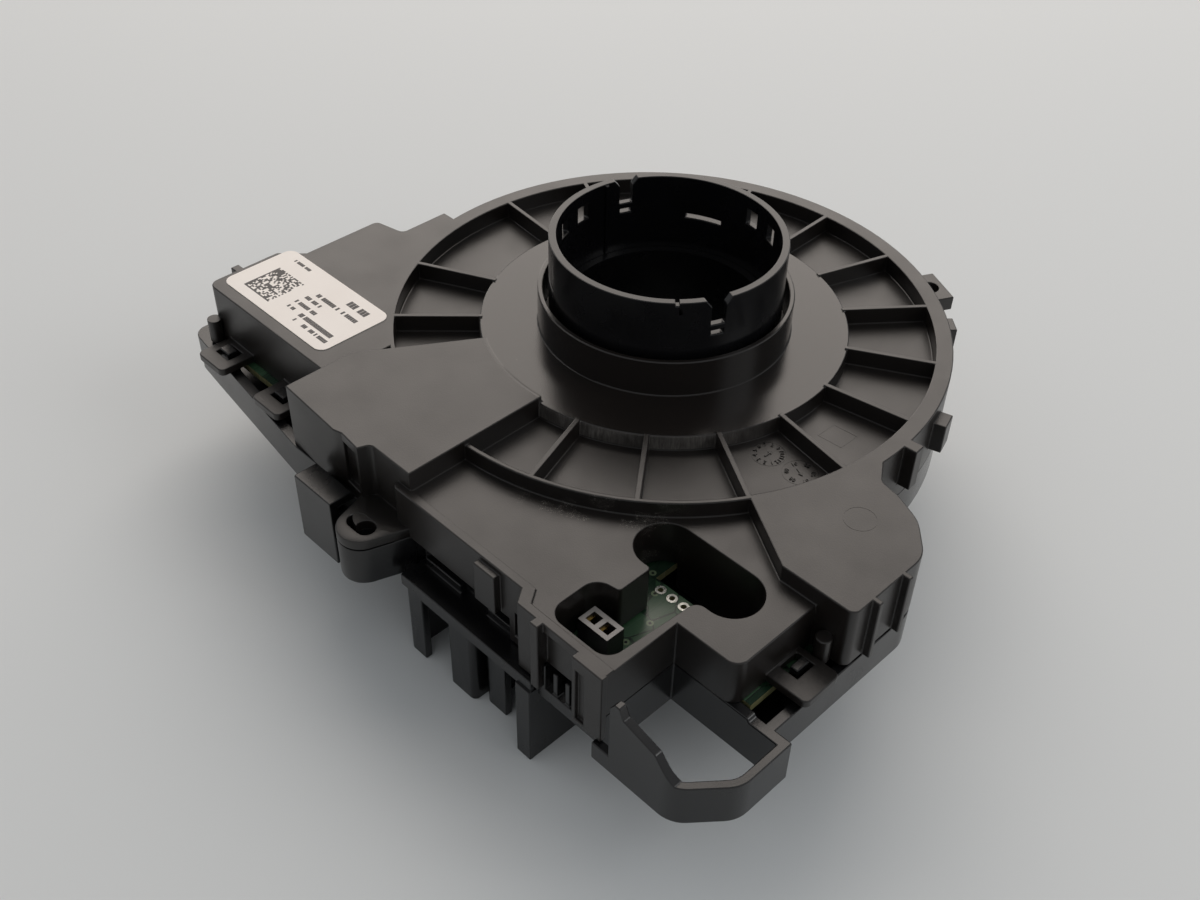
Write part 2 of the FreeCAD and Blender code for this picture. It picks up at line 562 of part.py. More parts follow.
def cover_ears(body):
    pad(body, outline(body, "Ear", "-ear_parting", ear_corners()), "ear_parting - ear_top")
    pocket(body, outline(body, "EarHole", "-ear_top", ear_hole_corners()), "ear_parting - ear_top")
    plate = rectangle("disc_radius - cover_wall", "-0.5*lug_width", "lug_reach", "0.5*lug_width")
    sketch = outline(body, "Lug", "-lug_level - lug_thick", plate, turn="lug_turn")
    add_circle(sketch, "lug_hole", ("lug_hole_reach", "0"))
    lug = pad(body, sketch, "lug_thick")
    around(body, "Lugs", [lug], "lug_count", "lug_gap")
    snap = rectangle("disc_radius - cover_wall", "-0.5*snap_width", "snap_reach", "0.5*snap_width")
    first = pad(body, outline(body, "Snap", "-snap_deep", snap, turn="snap_turn"), "snap_deep - snap_top")
    around(body, "Snaps", [first], "snap_count", "snap_gap")
    tab = rectangle("disc_radius - cover_wall", "-0.5*side_tab_wide", "snap_reach", "0.5*side_tab_wide")
    pad(body, outline(body, "DiscTab", "-snap_deep", tab, turn="side_tab_turn"), "snap_deep + rim_top")


def cover_front(body):
    block = rectangle("catch_left", "deck_front - catch_proud", "catch_right", "deck_front + cover_wall")
    pad(body, outline(body, "Catch", "-catch_deep", block), "catch_deep - catch_top")
    tabs = [rectangle(left, "deck_step_front - rib_tab_proud", right, "deck_step_front")
            for left, right in (("rib_tab_left", "rib_tab_right"), ("stile_left", "stile_right"))]
    pad(body, outline(body, "FrontTabs", "-rib_tab_deep", *tabs), "rib_tab_deep - deck_depth + border_rise")
    groove = rectangle("groove_left", "deck_step_front - 2*rib_tab_proud", "groove_right",
                       "deck_step_front - rib_tab_proud + groove_deep")
    pocket(body, outline(body, "TabGroove", "-groove_top", groove), "groove_low - groove_top")
    hatch = rectangle("stile_right", "deck_step_front - groove_deep", "rib_tab_left",
                      "deck_step_front + hatch_deep")
    pocket(body, outline(body, "Hatch", "-hatch_top", hatch), "skirt_depth - hatch_top")
    tabs = [rectangle("tab_left", "tab_low", "label_left + cover_wall", "tab_high")]
    for fin in ("fin_one", "fin_two"):
        tabs.append(rectangle("lobe_right - cover_wall", fin, "fin_reach", f"{fin} + fin_wide"))
    pad(body, outline(body, "SideTabs", "-skirt_depth", *tabs), "skirt_depth + rim_top")


# Below its front wall the cover goes on as a thin panel with a slit, in front of the lower case.
def cover_panel(body):
    corners = [("panel_left", "deck_front"), ("deck_jog", "deck_front"),
               ("deck_jog + deck_jog_run", "deck_step_front"), ("case_step - seat_gap", "deck_step_front"),
               ("case_step - seat_gap", "deck_step_front + panel_thick"),
               ("deck_jog + deck_jog_run + 0.7*panel_thick", "deck_step_front + panel_thick"),
               ("deck_jog + 0.7*panel_thick", "deck_front + panel_thick"),
               ("panel_left", "deck_front + panel_thick")]
    pad(body, outline(body, "Panel", "-panel_deep", corners), "panel_deep - skirt_depth + board_gap")
    slit = rectangle("slit_left", "deck_front - groove_deep", "slit_right", "deck_front + groove_deep")
    pocket(body, outline(body, "PanelSlit", "-slit_top", slit), "slit_low - slit_top")


# Posts under the recess floor carry the two measuring gears.
def cover_posts(body):
    for name in ("gear_a", "gear_b"):
        low = "-recess_depth - plate_thick - axial_gap - post_length"
        post = circles(body, name + "Post", low, ["post_radius"], (gear_reach(name), "0"),
                       turn=f"{name}_turn")
        pad(body, post, "post_length + axial_gap + plate_thick")


def make_upper_cover():
    body = new_body("upper_cover")
    cover_blocks(body)
    cover_recess(body)
    cover_platform(body)
    cover_collar(body)
    cover_hollow(body)
    cover_bore(body)
    cover_openings(body)
    cover_flute(body)
    cover_clips(body)
    cover_ears(body)
    cover_front(body)
    cover_panel(body)
    cover_posts(body)
    cover_ribs(body)


def gear_reach(name):
    return f"0.5*gear_module*drive_teeth + 0.5*gear_module*{name}_teeth"


def case_corners(inset="0*case_wall"):
    return [
        (f"case_left + {inset}", f"case_corner_front + {inset}", "case_corner_round"),
        (f"case_slope_x + {inset}", f"case_slope_y + {inset}"),
        (f"case_slope_end + {inset}", f"case_slope_low + {inset}"),
        (f"case_front_left - {inset}", f"case_slope_low + {inset}"),
        (f"case_front_left - {inset}", f"case_front + {inset}"),
        (f"case_step + {inset}", f"case_front + {inset}"),
        (f"case_step + {inset}", f"case_step_front + {inset}"),
        (f"cup_left - {inset}", f"case_step_front + {inset}"),
        (f"cup_left - {inset}", f"cup_back + {inset}"),
        (f"case_right - {inset}", f"cup_back + {inset}"),
        (f"case_right - {inset}", f"lobe_back - {inset}", "lobe_side_round"),
        (f"lobe_bend_out - {inset}", f"lobe_bend_back - {inset}", "lobe_bend_round"),
        (f"case_neck - {inset}", f"case_inner_back - {inset}"),
        (f"shoulder_neck + {inset}", f"case_inner_back - {inset}"),
        (f"shoulder_left + {inset}", f"shoulder_back - {inset}"),
        (f"shoulder_left + {inset}", f"case_left_back - {inset}"),
        (f"case_left + {inset}", f"case_left_back - {inset}"),
    ]


# The lower case is a tray under the cover, with the bearing for the rotor in its floor.
def case_tray(body):
    tall = "floor_depth - skirt_depth"
    low = "-floor_depth"
    pad(body, circles(body, "Disc", low, ["case_disc_radius"]), tall)
    pad(body, outline(body, "Block", low, case_corners()), tall)
    deep = "floor_depth - floor_thick - skirt_depth"
    pocket(body, circles(body, "DiscHollow", "-skirt_depth", ["case_disc_radius - case_wall"]), deep)
    pocket(body, outline(body, "BlockHollow", "-skirt_depth", case_corners("case_wall")), deep)
    flange = rectangle("front_flange_left", "front_flange_out", "front_flange_right",
                       "case_front + case_wall")
    pad(body, outline(body, "FrontFlange", "-front_flange_foot", flange),
        "front_flange_foot - front_flange_top")
    ledges = [rectangle(f"{name}_left", "case_front - ledge_proud",
                        f"{name}_right", "case_front + case_wall")
              for name in ("ledge_one", "ledge_two")]
    pad(body, outline(body, "Ledges", "-front_flange_foot", *ledges), "front_flange_foot - ledge_top")


# A window in the front wall, with two posts behind it.
def case_hatch(body):
    window = rectangle("hatch_left", "case_step_front - groove_deep", "hatch_right",
                       "case_step_front + case_wall + groove_deep")
    pocket(body, outline(body, "Hatch", "-skirt_depth", window), "hatch_low - skirt_depth")
    posts = [rectangle(left, "case_step_front + 0.5*groove_deep",
                       f"{left} + hatch_post_wide", "hatch_post_back")
             for left in ("hatch_post_one", "hatch_post_two")]
    pad(body, outline(body, "HatchPosts", "-floor_depth", *posts), "floor_depth - hatch_post_top")


# A sleeve under the floor stands on the same plane as the plug shrouds and locates on the column.
def case_bearing(body):
    inner = "tube_radius - tube_wall - seat_gap + running_gap"
    sleeve = circles(body, "ColumnSleeve", "-rest_depth",
                     ["column_sleeve_radius - column_sleeve_wall", "column_sleeve_radius"])
    pad(body, sleeve, "rest_depth - floor_depth + 0.5*floor_thick")
    top = f"{GEAR_LOW} + bearing_gap"
    collar = circles(body, "Bearing", "-floor_depth", [f"{inner} + bearing_wall"])
    pad(body, collar, f"floor_depth - {minus(top)}")
    bore = circles(body, "BearingBore", "-skirt_depth + floor_thick", [inner])
    pocket(body, bore, "floor_depth")


def minus(text):
    swapped = text.replace(" - ", " # ").replace(" + ", " - ").replace(" # ", " + ")
    return swapped


# The gear ring hangs under the tube's flange, so its levels add up from the plateau down.
GEAR_TOP = "recess_depth + plate_thick + axial_gap + flange_thick"
GEAR_LOW = GEAR_TOP + " + gear_thick"

SHROUDS = ("shroud_a", "shroud_b")


def pin_field(name, grow):
    across = "0.5*pin_pitch*pin_count"
    along = "0.5*pin_pitch*pin_rows"
    x_text = f"0.5*{name}_left + 0.5*{name}_right"
    y_text = pin_middle(name)
    return rectangle(f"{x_text} - {across} - {grow}", f"{y_text} - {along} - {grow}",
                     f"{x_text} + {across} + {grow}", f"{y_text} + {along} + {grow}")


# The pins stand behind the middle of their shroud, inside the front wall of the case.
def pin_middle(name):
    return f"0.5*{name}_front + 0.5*{name}_back + pin_setback"


# Each plug shroud is open at its foot and has a gap in front for the plug's latch. Its pins come down
# through a window in the floor.
def case_shrouds(body):
    sides, cavities, gaps = [], [], []
    for name in SHROUDS:
        sides.append(rectangle(f"{name}_left", f"{name}_front", f"{name}_right", f"{name}_back",
                               "shroud_round"))
        cavities.append(rectangle(f"{name}_left + shroud_wall", f"{name}_front + shroud_wall",
                                  f"{name}_right - shroud_wall", f"{name}_back - shroud_wall"))
        gaps.append(rectangle(f"{name}_gap_left", f"{name}_front - shroud_wall",
                              f"{name}_gap_right", f"{name}_front + 2*shroud_wall"))
    tall = "rest_depth - floor_depth + 0.5*floor_thick"
    pad(body, outline(body, "Shrouds", "-rest_depth", *sides), tall)
    guide = rectangle("guide_left", "guide_front", "guide_right", "shroud_b_front + shroud_wall")
    pad(body, outline(body, "Guide", "-rest_depth", guide), "rest_depth - front_flange_foot + seat_gap")
    pocket(body, outline(body, "Cavities", "-rest_depth", *cavities),
           "rest_depth - floor_depth - shroud_roof", True)
    pocket(body, outline(body, "LatchGaps", "-rest_depth", *gaps), "rest_depth - latch_gap_top", True)
    windows = [pin_field(name, "seat_gap") for name in SHROUDS]
    pocket(body, outline(body, "PinWindows", "-rest_depth", *windows),
           "rest_depth - floor_depth + floor_thick", True)


# An open socket: a curved wall that leans down from the deck's corner, open at its top and its foot.
def case_cup(body):
    outer = [("cup_left - 0.5*case_wall", "cup_front"), ("cup_bend", "cup_front", "cup_round"),
             ("cup_right", "cup_bend_y", "cup_round"), ("cup_right", "cup_back + case_wall"),
             ("cup_left - 0.5*case_wall", "cup_back + case_wall")]
    pad(body, outline(body, "Cup", "-cup_foot", outer), "cup_foot - cup_rim")
    inner = [("cup_left", "cup_front + cup_wall"),
             ("cup_bend - 0.4*cup_wall", "cup_front + cup_wall", "cup_round - cup_wall"),
             ("cup_right - cup_wall", "cup_bend_y + 0.4*cup_wall", "cup_round - cup_wall"),
             ("cup_right - cup_wall", "cup_back"), ("cup_left", "cup_back")]
    pocket(body, outline(body, "CupHollow", "-cup_rim", inner), "cup_foot")
    clear = [("cup_left - 2*case_wall", "cup_front + cup_wall"), ("cup_left", "cup_front + cup_wall"),
             ("cup_left", "cup_back"), ("cup_seam", "cup_back"), ("cup_seam", "cup_back + 2*case_wall"),
             ("cup_left - 2*case_wall", "cup_back + 2*case_wall")]
    pocket(body, outline(body, "CupSides", "-cup_rim", clear), "skirt_depth - cup_rim")
    gap = rectangle("cup_left - case_wall", "cup_front - cup_wall", "cup_out_left", "case_step_front")
    pocket(body, outline(body, "CupGap", "-cup_rim", gap), "cup_gap_low - cup_rim")
    over = [("cup_out_left", "-cup_rim_start"), ("cup_tip_left", "-cup_rim"), ("cup_tip_right", "-cup_rim"),
            ("cup_step_x", "-cup_rim_step"), ("cup_rim_x", "-cup_rim_mid"), ("cup_slope_x", "-cup_rim_low"),
            ("cup_right + cup_wall", "-cup_rim_low"), ("cup_right + cup_wall", "rim_top"),
            ("cup_out_left", "rim_top")]
    rim = outline(body, "CupRim", "-cup_back - skirt_depth", over, plane="XZ_Plane")
    pocket(body, rim, "tool_reach", midplane=True)


def case_ear(body):
    pad(body, outline(body, "Ear", "-floor_depth", ear_corners()), "floor_depth - ear_parting")
    pocket(body, outline(body, "EarHole", "-ear_parting", ear_hole_corners()), "floor_depth - ear_parting")


def case_hook(body):
    plate = rectangle("hook_left", "hook_front", "hook_right", "hook_front + hook_wall")
    pad(body, outline(body, "HookPlate", "-hook_foot", plate), "hook_foot - hook_top")
    top = rectangle("hook_left", "hook_front", "hook_right", "hook_lip")
    pad(body, outline(body, "HookTop", "-hook_top - hook_wall", top), "hook_wall")
    webs = [rectangle(left, "hook_front", f"{left} + hook_wall", "hook_back")
            for left in ("hook_left", "hook_right - hook_wall")]
    pad(body, outline(body, "HookWebs", "-hook_foot", *webs), "hook_foot - skirt_depth - axial_gap")


# Catches that stand in the windows of the cover's clip tabs.
def case_catches(body):
    tall = "floor_depth - clip_level + catch_over"
    middle = "0.5*clip_right_low + 0.5*clip_right_high + clip_right_shift"
    blocks = [rectangle("board_right + catch_gap", f"{middle} - 0.5*clip_window + catch_gap",
                        "deck_right + clip_right_gap + clip_right_long - catch_gap",
                        f"{middle} + 0.5*clip_window - catch_gap")]
    for left in ("clip_left_one", "clip_left_two"):
        centre = f"{left} + 0.5*clip_left_width"
        blocks.append(rectangle(f"{centre} - 0.5*clip_window + catch_gap",
                                "label_front - well_wall - 0.8*clip_window + catch_gap",
                                f"{centre} + 0.5*clip_window - catch_gap",
                                "board_front_left - catch_gap"))
    pad(body, outline(body, "Catches", "-floor_depth", *blocks), tall)


BOSSES = ("boss_one", "boss_two", "boss_three", "boss_four")


def case_bosses(body):
    tall = "floor_depth - board_top - board_thick"
    bosses = new_sketch(body, "Bosses", "-floor_depth")
    holes = new_sketch(body, "BossHoles", "-board_top - board_thick")
    for name in BOSSES:
        add_circle(bosses, "boss_radius", (f"{name}_x", f"{name}_y"))
        add_circle(holes, "boss_hole", (f"{name}_x", f"{name}_y"))
    pad(body, bosses, tall)
    pocket(body, holes, tall + " - floor_thick")


def make_lower_case():
    body = new_body("lower_case")
    case_tray(body)
    case_bosses(body)
    case_shrouds(body)
    case_bearing(body)
    case_cup(body)
    case_ear(body)
    case_hook(body)
    case_catches(body)
    case_hatch(body)


def radial_cut(body, name, level, width, depth, turn):
    slab = rectangle("tube_radius - 2*tube_wall", f"-0.5*{width}",
                     "tube_radius + tube_wall", f"0.5*{width}")
    return pocket(body, outline(body, name, level, slab, turn=turn), depth)


# The rotor tube goes in from below: its flange stays under the cover.
def make_rotor_tube():
    body = new_body("rotor_tube")
    wall = circles(body, "Wall", "-tube_foot", ["tube_radius - tube_wall", "tube_radius"])
    pad(body, wall, "tube_foot + tube_top")
    flange = circles(body, "Flange", minus("-" + GEAR_TOP),
                     ["tube_radius - 0.5*tube_wall", "tube_radius + flange_reach"])
    pad(body, flange, "flange_thick")
    seam = rectangle("tube_radius - tube_wall - seam_proud", "-0.5*seam_width",
                     "tube_radius - 0.5*tube_wall", "0.5*seam_width")
    pad(body, outline(body, "Seam", "sleeve_top + axial_gap", seam, turn="seam_turn"),
        "tube_top - sleeve_top - 2*axial_gap")
    slot = radial_cut(body, "Key", "tube_top", "key_width", "key_drop", "key_turn")
    mouth = radial_cut(body, "KeyMouth", "tube_top", "key_mouth", "key_slope", "key_turn")
    mouth.TaperAngle = -math.degrees(math.atan((amount("0.5*key_mouth - 0.5*key_width"))
                                               / amount("key_slope")))
    sill = radial_cut(body, "KeySill", "tube_top - key_sill_drop", "key_sill_width", "key_sill", "key_turn")
    around(body, "Keys", [slot, mouth, sill], "2", "180")
    radial_cut(body, "Nick", "tube_top", "nick_width", "nick_drop", "nick_turn")
    upper = "window_level + 0.5*window_height"
    first = radial_cut(body, "Window", upper, "window_width", "window_height", "window_turn")
    second = radial_cut(body, "WindowTwin", upper, "window_width", "window_height",
                        "window_turn + window_step")
    slit = radial_cut(body, "Slit", "slit_level", "slit_width", "slit_height", "slit_turn")
    around(body, "Windows", [first, second, slit], "window_count", "360 - 120")


# A tooth gap as a trapezoid on the pitch circle; the play between the flanks is tooth_backlash.
def gap_corners(teeth):
    middle = "0.785398*gear_module + 0.5*tooth_backlash"
    pitch = f"0.5*gear_module*{teeth}"
    wide = f"{middle} + gear_module*flank_slope*tooth_rise"
    narrow = f"{middle} - gear_module*flank_slope*tooth_root"
    return [(f"{pitch} - gear_module*tooth_root", "-" + minus(narrow)),
            (f"{pitch} + gear_module*tooth_rise", "-" + minus(wide)),
            (f"{pitch} + gear_module*tooth_rise", wide),
            (f"{pitch} - gear_module*tooth_root", narrow)]


def cut_teeth(body, level, teeth):
    sketch = outline(body, "ToothGap", level, gap_corners(teeth))
    gap = pocket(body, sketch, "gear_thick")
    pattern = around(body, "Teeth", [gap], teeth, "360")
    return pattern


def make_drive_hub():
    body = new_body("drive_hub")
    outer = "tube_radius - tube_wall - seat_gap"
    top, low = minus("-" + GEAR_TOP), minus("-" + GEAR_LOW)
    tips = "0.5*gear_module*drive_teeth + gear_module"
    blank = circles(body, "Blank", low, [f"{outer} - sleeve_wall", tips])
    pad(body, blank, "gear_thick")
    cut_teeth(body, top, "drive_teeth")
    sleeve = circles(body, "Sleeve", "-sleeve_foot", [f"{outer} - sleeve_wall", outer])
    pad(body, sleeve, "sleeve_foot + sleeve_top")
    groove = circles(body, "TubeGroove", top, [outer, "tube_radius + seat_gap"])
    pocket(body, groove, f"tube_foot - {minus(GEAR_TOP)}")
    clip = circles(body, "ClipGroove", "-floor_depth - axial_gap", [f"{outer} - clip_groove_deep",
                                                                 f"{outer} + seat_gap"])
    pocket(body, clip, "clip_groove_tall")


def make_retaining_clip():
    body = new_body("retaining_clip")
    outer = "tube_radius - tube_wall - seat_gap"
    ring = circles(body, "Ring", "-floor_depth - axial_gap - clip_groove_tall + seat_gap",
                   [f"{outer} - clip_groove_deep + seat_gap", f"{outer} + clip_ring_reach"])
    pad(body, ring, "clip_groove_tall - 2*seat_gap")
    mouth = rectangle("0.5*tube_radius", "-0.5*clip_ring_open", "2*tube_radius", "0.5*clip_ring_open")
    cut = outline(body, "Mouth", "-floor_depth - axial_gap", mouth, turn="90")
    pocket(body, cut, "clip_groove_tall")


def finish_piece(piece, name):
    piece.Label = name
    PIECES.append(piece)


# A measuring gear turns on a post of the cover and carries its magnet over a sensor chip.
def make_measuring_gear(name):
    body = new_body("measuring_" + name)
    top, low = minus("-" + GEAR_TOP), minus("-" + GEAR_LOW)
    blank = circles(body, "Blank", low, [f"0.5*gear_module*{name}_teeth + gear_module"])
    pad(body, blank, "gear_thick")
    cut_teeth(body, top, f"{name}_teeth")
    hub = circles(body, "Hub", low, ["gear_hub_radius"])
    pad(body, hub, f"{GEAR_LOW} - recess_depth - plate_thick - axial_gap")
    bore = circles(body, "Bore", "-recess_depth - plate_thick - axial_gap", ["post_radius + running_gap"])
    pocket(body, bore, "post_length + axial_gap")
    seat = circles(body, "MagnetSeat", low, ["magnet_radius"])
    pocket(body, seat, "magnet_thick", True)
    place_on_gear_axis(body, name, mesh_phase(name))


# Phase in degrees that sets a gap of the gear against a tooth of the drive gear at rest.
def mesh_phase(name):
    turn = amount(f"{name}_turn")
    drive_pitch = 360 / SIZES["drive_teeth"]
    tooth = drive_pitch * (round(turn / drive_pitch - 0.5) + 0.5)
    lag = (tooth - turn) * SIZES["drive_teeth"] / SIZES[f"{name}_teeth"]
    return turn + 180 - lag


def place_on_gear_axis(piece, name, phase=0.0):
    reach = amount(gear_reach(name))
    turn = math.radians(amount(f"{name}_turn"))
    piece.Placement = FreeCAD.Placement(
        FreeCAD.Vector(reach * math.cos(turn), reach * math.sin(turn), 0),
        FreeCAD.Rotation(phase, 0, 0))
    span = f"(Sheet.drive_teeth + Sheet.{name}_teeth) * Sheet.gear_module / 2"
    piece.setExpression("Placement.Base.x", f"{span} * cos(Sheet.{name}_turn)")
    piece.setExpression("Placement.Base.y", f"{span} * sin(Sheet.{name}_turn)")


def make_magnet(name):
    magnet = doc.addObject("Part::Cylinder", "magnet_" + name)
    bind(magnet, "Radius", "magnet_radius")
    bind(magnet, "Height", "magnet_thick")
    place_on_gear_axis(magnet, name)
    bind(magnet, "Placement.Base.z", minus("-" + GEAR_LOW))
    finish_piece(magnet, "magnet_" + name)


def make_circuit_board():
    body = new_body("circuit_board")
    low = "-board_top - board_thick"
    corners = [("board_left", "board_front_left"), ("board_turn_left", "board_front_left"),
               ("board_turn_left", "board_front"), ("board_step", "board_front"),
               ("board_step", "board_step_front"), ("board_cup_x", "board_step_front"),
               ("board_cup_x", "board_cup_y"), ("board_right", "board_cup_y"),
               ("board_right", "board_back_right"), ("board_ear_x", "board_ear_y"),
               ("-board_ear_x", "board_ear_y"), ("board_shoulder", "board_shoulder_y"),
               ("board_shoulder", "board_left_back"), ("board_left", "board_left_back")]
    pad(body, outline(body, "Board", low, corners), "board_thick")
    pocket(body, circles(body, "ColumnCut", "-board_top", ["board_bore"]), "board_thick")
    slot = rectangle("board_cut_left", "board_cut_front", "board_cut_right", "board_cut_back")
    pocket(body, outline(body, "SlotCut", "-board_top", slot), "board_thick")
    cuts = new_sketch(body, "Cuts", "-board_top")
    for name in BOSSES:
        add_circle(cuts, "board_hole", (f"{name}_x", f"{name}_y"))
    for index in range(int(SIZES["pad_count"])):
        add_circle(cuts, "pad_hole", (f"pad_first_x + {index}*pad_pitch", "pad_y"))
    pocket(body, cuts, "board_thick")


# A box between two corners, each side bound to the sheet.
def box(name, left, front, low, long, wide, tall):
    block = doc.addObject("Part::Box", name)
    bind(block, "Length", long)
    bind(block, "Width", wide)
    bind(block, "Height", tall)
    bind(block, "Placement.Base.x", left)
    bind(block, "Placement.Base.y", front)
    bind(block, "Placement.Base.z", low)
    return block


def join(name, shapes):
    group = doc.addObject("Part::MultiFuse", name)
    group.Shapes = shapes
    finish_piece(group, name)
    return group


# A flat package with a row of leads along each long side.
def make_chip(name, x_text, y_text, long, wide, tall, leads):
    low = "-board_top"
    body = box(name + "_case", f"{x_text} - 0.5*{long}", f"{y_text} - 0.5*{wide}",
               low, long, wide, tall)
    blocks = [body]
    for index in range(int(SIZES[leads])):
        along = f"{x_text} - 0.5*lead_pitch*{leads} + {index}*lead_pitch + 0.5*lead_pitch - 0.5*lead_wide"
        for side, front in (("front", f"{y_text} - 0.5*{wide} - lead_long"),
                            ("back", f"{y_text} + 0.5*{wide}")):
            blocks.append(box(f"{name}_{side}{index}", along, front, low,
                              "lead_wide", "lead_long", "lead_tall"))
    join(name, blocks)


def make_sensor_chip(name):
    chip = box("angle_chip_" + name, "0", "0", "-board_top", "sensor_side", "sensor_side", "chip_tall")
    reach = f"(Sheet.drive_teeth + Sheet.{name}_teeth) * Sheet.gear_module / 2"
    half = "Sheet.sensor_side / 2"
    chip.setExpression("Placement.Base.x", f"{reach} * cos(Sheet.{name}_turn) - {half}")
    chip.setExpression("Placement.Base.y", f"{reach} * sin(Sheet.{name}_turn) - {half}")
    finish_piece(chip, "angle_chip_" + name)


def make_capacitors():
    blocks = []
    for index in range(int(SIZES["capacitor_count"])):
        blocks.append(box(f"Capacitor{index}", f"capacitor_x + {index}*capacitor_step", "capacitor_y",
                          "-board_top", "capacitor_wide", "capacitor_long", "capacitor_tall"))
    join("board_capacitors", blocks)


# The receptacle has two square wells, each with a sprung contact on its floor.
def make_receptacle():
    body = new_body("receptacle")
    sides = rectangle("socket_left", "socket_front", "socket_right", "socket_back")
    pad(body, outline(body, "Block", "-board_top", sides), "board_top - socket_top")
    wells = []
    for name, left in receptacle_wells():
        well = rectangle(left, well_front(), f"{left} + socket_hole", f"{well_front()} + socket_hole")
        wells.append(well)
    pocket(body, outline(body, "WellHoles", "-socket_top", *wells),
           "board_top - socket_top - socket_floor")


def well_front():
    return "0.5*socket_front + 0.5*socket_back - 0.5*socket_hole"


def receptacle_wells():
    middle = "0.5*socket_left + 0.5*socket_right"
    return (("WellLeft", f"{middle} - 0.5*socket_hole_gap - socket_hole"),
            ("WellRight", f"{middle} + 0.5*socket_hole_gap"))


def make_receptacle_contacts():
    blocks = []
    for name, left in receptacle_wells():
        low = "-board_top + socket_floor"
        tall = "board_top - socket_top - socket_floor - contact_drop"
        blocks.append(box(name + "Contact", left, well_front(), low,
                          "contact_wall", "socket_hole", tall))
        blocks.append(box(name + "Leaf", f"{left} + contact_wall", well_front(), low,
                          "socket_hole - 2*contact_wall", "contact_wall", tall))
    join("receptacle_contacts", blocks)


def make_plated_rings():
    rings = []
    for index in range(int(SIZES["pad_count"])):
        ring = doc.addObject("Part::Cut", f"PadRing{index}")
        for number, radius in enumerate(("pad_radius", "pad_hole")):
            disc = doc.addObject("Part::Cylinder", f"PadDisc{index}{number}")
            bind(disc, "Radius", radius)
            bind(disc, "Height", "pad_thick")
            bind(disc, "Placement.Base.x", f"pad_first_x + {index}*pad_pitch")
            bind(disc, "Placement.Base.y", "pad_y")
            bind(disc, "Placement.Base.z", "-board_top")
            setattr(ring, ("Base", "Tool")[number], disc)
        rings.append(ring)
    join("plated_rings", rings)


def make_plug_pins(name):
    pins = []
    for row in range(int(SIZES["pin_rows"])):
        for column in range(int(SIZES["pin_count"])):
            x_text = (f"0.5*{name}_left + 0.5*{name}_right - 0.5*pin_pitch*pin_count"
                      f" + {column}*pin_pitch + 0.5*pin_pitch - 0.5*pin_side")
            y_text = (f"{pin_middle(name)} - 0.5*pin_pitch*pin_rows"
                      f" + {row}*pin_pitch + 0.5*pin_pitch - 0.5*pin_side")
            pins.append(box(f"{name}_pin{row}{column}", x_text, y_text, "-pin_foot",
                            "pin_side", "pin_side", "pin_foot - board_top - board_thick"))
    join("plug_pins_" + name[-1], pins)


def make_board_screws():
    screws = []
    for name in BOSSES:
        shank = doc.addObject("Part::Cylinder", name + "_shank")
        bind(shank, "Radius", "boss_hole - seat_gap")
        bind(shank, "Height", "screw_length")
        bind(shank, "Placement.Base.z", "-board_top - screw_length")
        head = doc.addObject("Part::Cylinder", name + "_head")
        bind(head, "Radius", "screw_head")
        bind(head, "Height", "screw_head_tall")
        bind(head, "Placement.Base.z", "-board_top")
        for part in (shank, head):
            bind(part, "Placement.Base.x", f"{name}_x")
            bind(part, "Placement.Base.y", f"{name}_y")
        whole = doc.addObject("Part::MultiFuse", name + "_screw")
        whole.Shapes = [shank, head]
        slot = box(name + "_slot", f"{name}_x - screw_head", f"{name}_y - 0.5*screw_slot",
                   "-board_top + screw_head_tall - screw_slot_deep", "2*screw_head", "screw_slot",
                   "screw_head_tall")
        screw = doc.addObject("Part::Cut", name + "_cut")
        screw.Base = whole
        screw.Tool = slot
        screws.append(screw)
    join("board_screws", screws)


def make_label():
    body = new_body("paper_label")
    sides = rectangle("paper_left", "paper_front", "paper_right", "paper_back", "paper_round")
    pad(body, outline(body, "Paper", "rim_top", sides), "paper_thick")


def make_all():
    make_upper_cover()
    make_lower_case()
    make_rotor_tube()
    make_drive_hub()
    make_retaining_clip()
    make_circuit_board()
    for name in ("gear_a", "gear_b"):
        make_measuring_gear(name)
        make_magnet(name)
        make_sensor_chip(name)
    make_chip("controller_chip", "controller_x", "controller_y", "controller_side", "controller_side",
              "chip_tall", "controller_leads")
    make_chip("bus_driver_chip", "driver_x", "driver_y", "driver_long", "driver_wide", "chip_tall",
              "driver_leads")
    make_chip("voltage_regulator", "regulator_x", "regulator_y", "regulator_long", "regulator_wide",
              "regulator_tall", "regulator_leads")
    make_capacitors()
    make_receptacle()
    make_receptacle_contacts()
    make_plated_rings()
    for name in SHROUDS:
        make_plug_pins(name)
    make_board_screws()
    make_label()


# Every object has to be sound, and every cut has to take something away.
def check_all():
    doc.recompute()
    for thing in doc.Objects:
        if "Invalid" in thing.State or "Error" in thing.State:
            raise ValueError(f"{thing.Label} failed: {thing.State}")
        if thing.TypeId == "PartDesign::Pocket":
            before = thing.BaseFeature.Shape.Volume
            if before - thing.Shape.Volume < 1e-6 * before:
                raise ValueError(f"{thing.Label} of {thing.getParentGeoFeatureGroup().Label} cuts nothing")
    for piece in PIECES:
        if piece.Shape.isNull() or not piece.Shape.isValid():
            raise ValueError(f"{piece.Label} has no valid shape")


def write_steps():
    os.makedirs("parts", exist_ok=True)
    for piece in PIECES:
        piece.Shape.exportStep(f"parts/{piece.Label}.step")
        print(piece.Label, len(piece.Shape.Solids), "solids", round(piece.Shape.Volume, 2), "mm3")


fill_sheet()
make_all()
check_all()
write_steps()
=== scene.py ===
import bmesh
import bpy
import json
import math
from mathutils import Matrix, Vector
from mathutils.bvhtree import BVHTree

